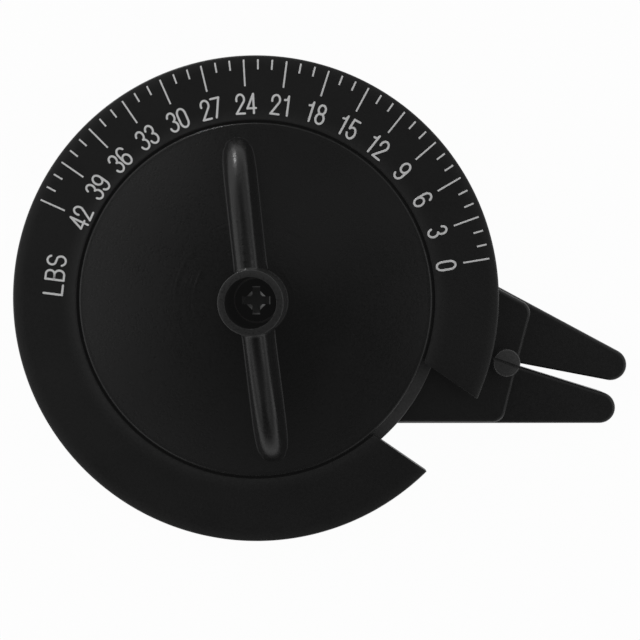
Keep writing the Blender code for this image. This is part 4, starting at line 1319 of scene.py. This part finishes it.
def write(bm, text, radius, degrees, glyphs, tall, pitch, pen, centre=Vector((0.0, 0.0))):
    """Write a word with its middle at a point of the ring, and the tops of its letters outwards."""
    upwards = Vector(polar(1.0, degrees))
    onwards = Vector((upwards.y, -upwards.x))
    for place, letter in enumerate(text):
        offset = (place - (len(text) - 1) / 2.0) * pitch
        for path, closed in glyphs[letter]:
            points = [centre + upwards * (radius + y - tall / 2.0) + onwards * (offset + x)
                      for x, y in path]
            stroke(bm, points, pen, closed)


numerals = bmesh.new()
for number in range(0, SCALE_END + 1, 3):
    write(numerals, str(number), DIGIT_RADIUS, SCALE_START + SCALE_PITCH * number, GLYPHS, TALL,
          DIGIT_PITCH, DIGIT_PEN, PRINT_SHIFT.xy)
make_piece("scale_numerals", numerals, ink, "dial")

# %% [markdown]
# Beyond the 42 stand the letters of the unit, pounds. It is only the name of a unit, so it stays on.

# %% Unit
UNIT_TALL = 2.37
UNIT_HALF = 0.62
UNIT_RADIUS = 26.15
UNIT_ANGLE = PICTURE_TURN + 172.75
UNIT_PITCH = 1.86
UNIT_WAIST = 1.26              # height at which the two bowls of the B meet


def bowl(x, width, low, high):
    """One bowl of the B, from its top round to its foot."""
    return ([(-UNIT_HALF, high)] + oval(x, (low + high) / 2.0, width, (high - low) / 2.0, 90.0, -90.0)
            + [(-UNIT_HALF, low)])


UNIT_GLYPHS = {
    "L": [([(-UNIT_HALF, UNIT_TALL), (-UNIT_HALF, 0.0)], False),
          ([(-UNIT_HALF, 0.0), (UNIT_HALF, 0.0)], False)],
    "B": [([(-UNIT_HALF, 0.0), (-UNIT_HALF, UNIT_TALL)], False),
          (bowl(0.05, 0.50, UNIT_WAIST, UNIT_TALL), False),
          (bowl(0.06, 0.56, 0.0, UNIT_WAIST), False)],
    "S": [(oval(0.0, UNIT_TALL - 0.59, 0.56, 0.59, 18.0, 232.0)
           + oval(0.0, 0.63, 0.60, 0.63, 52.0, -163.0), False)],
}
unit = bmesh.new()
write(unit, "LBS", UNIT_RADIUS, UNIT_ANGLE, UNIT_GLYPHS, UNIT_TALL, UNIT_PITCH, DIGIT_PEN)
make_piece("unit_letters", unit, ink, "dial")

# %% [markdown]
# ## The torsion spring
#
# The spring sits in its well under the dial, with one leg in the frame and one in the carrier. Turning
# the dial winds it up, so it can't ride on one body alone: its lower leg has to stay with the frame
# while its upper leg goes with the dial. A round wire is swept along the coils, and the piece is left
# on neither body.

# %% Torsion spring
WIRE_RADIUS = 0.6
WIRE_SIDES = 12
COIL_RADIUS = 11.6
LEG_BEND = 1.5                 # radius of the bends between the coils and the legs
LOWER_LEG = 2.5                # heights of the two legs
UPPER_LEG = 7.7
WHOLE_TURNS = 3                # turns of the coil, besides the part of a turn between the legs
COIL_STEPS = 180


def spring_line():
    """Centre line of the spring: radial leg, bend, coils, bend, radial leg."""
    lowest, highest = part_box("torsion_spring")
    bend_reach = math.sqrt((COIL_RADIUS + LEG_BEND) ** 2 - LEG_BEND ** 2)
    bend_turn = math.degrees(math.asin(LEG_BEND / (COIL_RADIUS + LEG_BEND)))
    bend = bow((bend_reach, LEG_BEND), (LEG_BEND, LEG_BEND), -90.0, bend_turn - 180.0, 8)[:-1]
    wound = 180.0 - 2.0 * bend_turn + 360.0 * WHOLE_TURNS
    line = [Vector((lowest[0] / MM, 0.0, LOWER_LEG))]
    line += [Vector((-x, y, LOWER_LEG)) for x, y in bend]
    for step in range(COIL_STEPS + 1):
        share = step / COIL_STEPS
        height = LOWER_LEG + (UPPER_LEG - LOWER_LEG) * share
        line.append(Vector((*polar(COIL_RADIUS, 180.0 - bend_turn - wound * share), height)))
    line += [Vector((x, y, UPPER_LEG)) for x, y in reversed(bend)]
    return line + [Vector((highest[0] / MM, 0.0, UPPER_LEG))]


def wire(line):
    """Sweep the round section of the wire along a line."""
    bm = bmesh.new()
    spokes = [polar(WIRE_RADIUS, 360.0 * number / WIRE_SIDES) for number in range(WIRE_SIDES)]
    rows = []
    for point, head in zip(line, directions(line, False)):
        aside = UP.cross(head).normalized()
        above = head.cross(aside)
        rows.append([bm.verts.new(point + aside * x + above * y) for x, y in spokes])
    joined(bm, rows)
    return bm


spring = make_piece("spring_wire", wire(spring_line()), bright_steel, None, ["torsion_spring"])
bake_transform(spring)

# %% [markdown]
# ## Pieces that stay as the CAD has them
#
# The post, the bush, the washers, the stop pin and the hidden screws already have their right shape. They
# only get their finish. The nodes that finer pieces replace are hidden, and get the same finish as those.

# %% Finishes of the other nodes
FINISHES = {                   # every other node is bright steel
    "pivot_post": brass, "thrust_washer": acetal, "pivot_bush": acetal,
    "jaw_plate": frame_plastic, "arm_plate": frame_plastic, "dial_carrier": carrier_plastic,
    "scale_ring": ring_plastic, "wing_knob": knob_plastic,
    "throat_screw": throat_steel, "centre_screw": centre_steel,
}
for node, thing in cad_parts.items():
    thing.data.materials.clear()
    thing.data.materials.append(FINISHES.get(node, bright_steel))
print("finished nodes:", len(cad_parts), "of which steel:", len(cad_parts) - len(FINISHES))

# %% [markdown]
# ## Floor and light
#
# The gauge lies on a plain white table. The photograph was cut out to pure white, so the table is mostly
# a light of its own to the camera, and the rest of it is an ordinary white surface that keeps a soft
# shadow. Mirrors and glass should see the same table, so their rays count as camera rays here. The table
# is a wide disc whose far edge turns up a little, as a backdrop does, for views from close to its level.

# %% Floor
FLOOR_REACH = 3500.0
FLOOR_RIM = 200.0              # how high the far edge turns up
FLOOR_INNER = 150.0            # a circle of corners that keeps the facets near the gauge short
FLOOR_THICKNESS = 10.0
FLOOR_DROP = -0.05             # just below the frame, so that the two faces don't fight
FLOOR_GLOW = 0.97              # share of the table that is a plain white light to the camera

floor_bottom, floor_edge = FLOOR_DROP - FLOOR_THICKNESS, FLOOR_REACH + FLOOR_THICKNESS
floor_section = [(0.0, floor_bottom), (floor_edge, floor_bottom), (floor_edge, FLOOR_RIM),
                 (FLOOR_REACH, FLOOR_RIM), (FLOOR_REACH, FLOOR_DROP), (FLOOR_INNER, FLOOR_DROP),
                 (0.0, FLOOR_DROP)]
floor = as_object("floor", turned(floor_section))
table = Finish("white table", {"Base Color": (0.93, 0.93, 0.93, 1.0), "Specular IOR Level": 0.1})
spot = table.place()
table.shade(Roughness=0.75 + table.noise(spot, 3.0) * 0.1)
rays = table.node("ShaderNodeLightPath", {}, {}, "Is Camera Ray")
for other in ("Is Glossy Ray", "Is Transmission Ray"):
    rays = rays + table.node("ShaderNodeLightPath", {}, {}, other)
glow = table.node("ShaderNodeEmission", {}, {"Color": (1.0, 1.0, 1.0, 1.0), "Strength": 1.0})
surface = Field(table, table.shader.outputs["BSDF"])
mixed = table.node("ShaderNodeMixShader", {}, {0: rays * FLOOR_GLOW, 1: surface, 2: glow})
table.tree.links.new(mixed.socket, table.tree.nodes["Material Output"].inputs["Surface"])
floor.data.materials.append(table.material)
print("floor:", 2.0 * FLOOR_REACH * MM, "m across")

# %% [markdown]
# Black plastic shows the lamps more than its own colour, so the light has to come from the same sides
# as in the photograph. That is a tent of soft panels in four rows. The low row rakes over the rounded
# edges, and the weaker rows above it give the shallow cone and the ring their slow change of tone from
# side to side. Each panel is placed by two angles, and its power was found from the tones of the cone,
# the ring and the fins. One small lamp close to the table makes the bright spot on the upper fin.

# %% Lamps
LAMP_REACH = 500.0             # from the dial to each panel
PANEL_TURN = 45.0              # how much of the circle a panel takes in
# Rows of panels: how far from overhead, how deep, and the power of each by its direction in the picture.
ROWS = [("low", 73.0, 210.0,
         {0: 0.11, 45: 0.12, 90: 0.18, 135: 0.30, 180: 0.32, 225: 0.10, 315: 0.07}),
        ("middle", 55.0, 150.0,
         {0: 0.220, 45: 0.090, 90: 0.025, 135: 0.055, 180: 0.085, 225: 0.180, 315: 0.110}),
        ("high", 38.0, 150.0,
         {0: 0.050, 45: 0.020, 135: 0.092, 180: 0.080, 225: 0.026, 270: 0.022, 315: 0.016}),
        ("top", 20.0, 150.0, {45: 0.016, 90: 0.018})]
SPOT_LAMP = (108.0, 85.0, 0.47, 60.0, 50.0)
ROOM_GREY = 0.9
ROOM_STRENGTH = 0.055          # the faint light that comes from everywhere


def panel(name, turn, tilt, power, width, depth):
    """A soft panel: turn is its direction in the picture, tilt is how far from overhead it is."""
    data = bpy.data.lights.new(name, "AREA")
    data.shape = "RECTANGLE"
    data.size = width * MM
    data.size_y = depth * MM
    data.energy = power
    lamp = bpy.data.objects.new(name, data)
    x, y = polar(LAMP_REACH * math.sin(math.radians(tilt)), turn + PICTURE_TURN)
    spot = Vector((x, y, LAMP_REACH * math.cos(math.radians(tilt))))
    lamp.matrix_world = Matrix.Translation(spot * MM) @ spot.to_track_quat("Z", "Y").to_matrix().to_4x4()
    bpy.context.scene.collection.objects.link(lamp)


for row, tilt, depth, powers in ROWS:
    width = LAMP_REACH * math.sin(math.radians(tilt)) * math.radians(PANEL_TURN)
    for turn, power in powers.items():
        panel(f"{row} panel at {turn}", turn, tilt, power, width, depth)
panel("small lamp for the spot on the fin", *SPOT_LAMP)

world = bpy.data.worlds.new("room")
world.use_nodes = True
room = world.node_tree.nodes["Background"]
room.inputs["Color"].default_value = (ROOM_GREY, ROOM_GREY, ROOM_GREY, 1.0)
room.inputs["Strength"].default_value = ROOM_STRENGTH
bpy.context.scene.world = world
bpy.context.scene.view_settings.view_transform = "Standard"
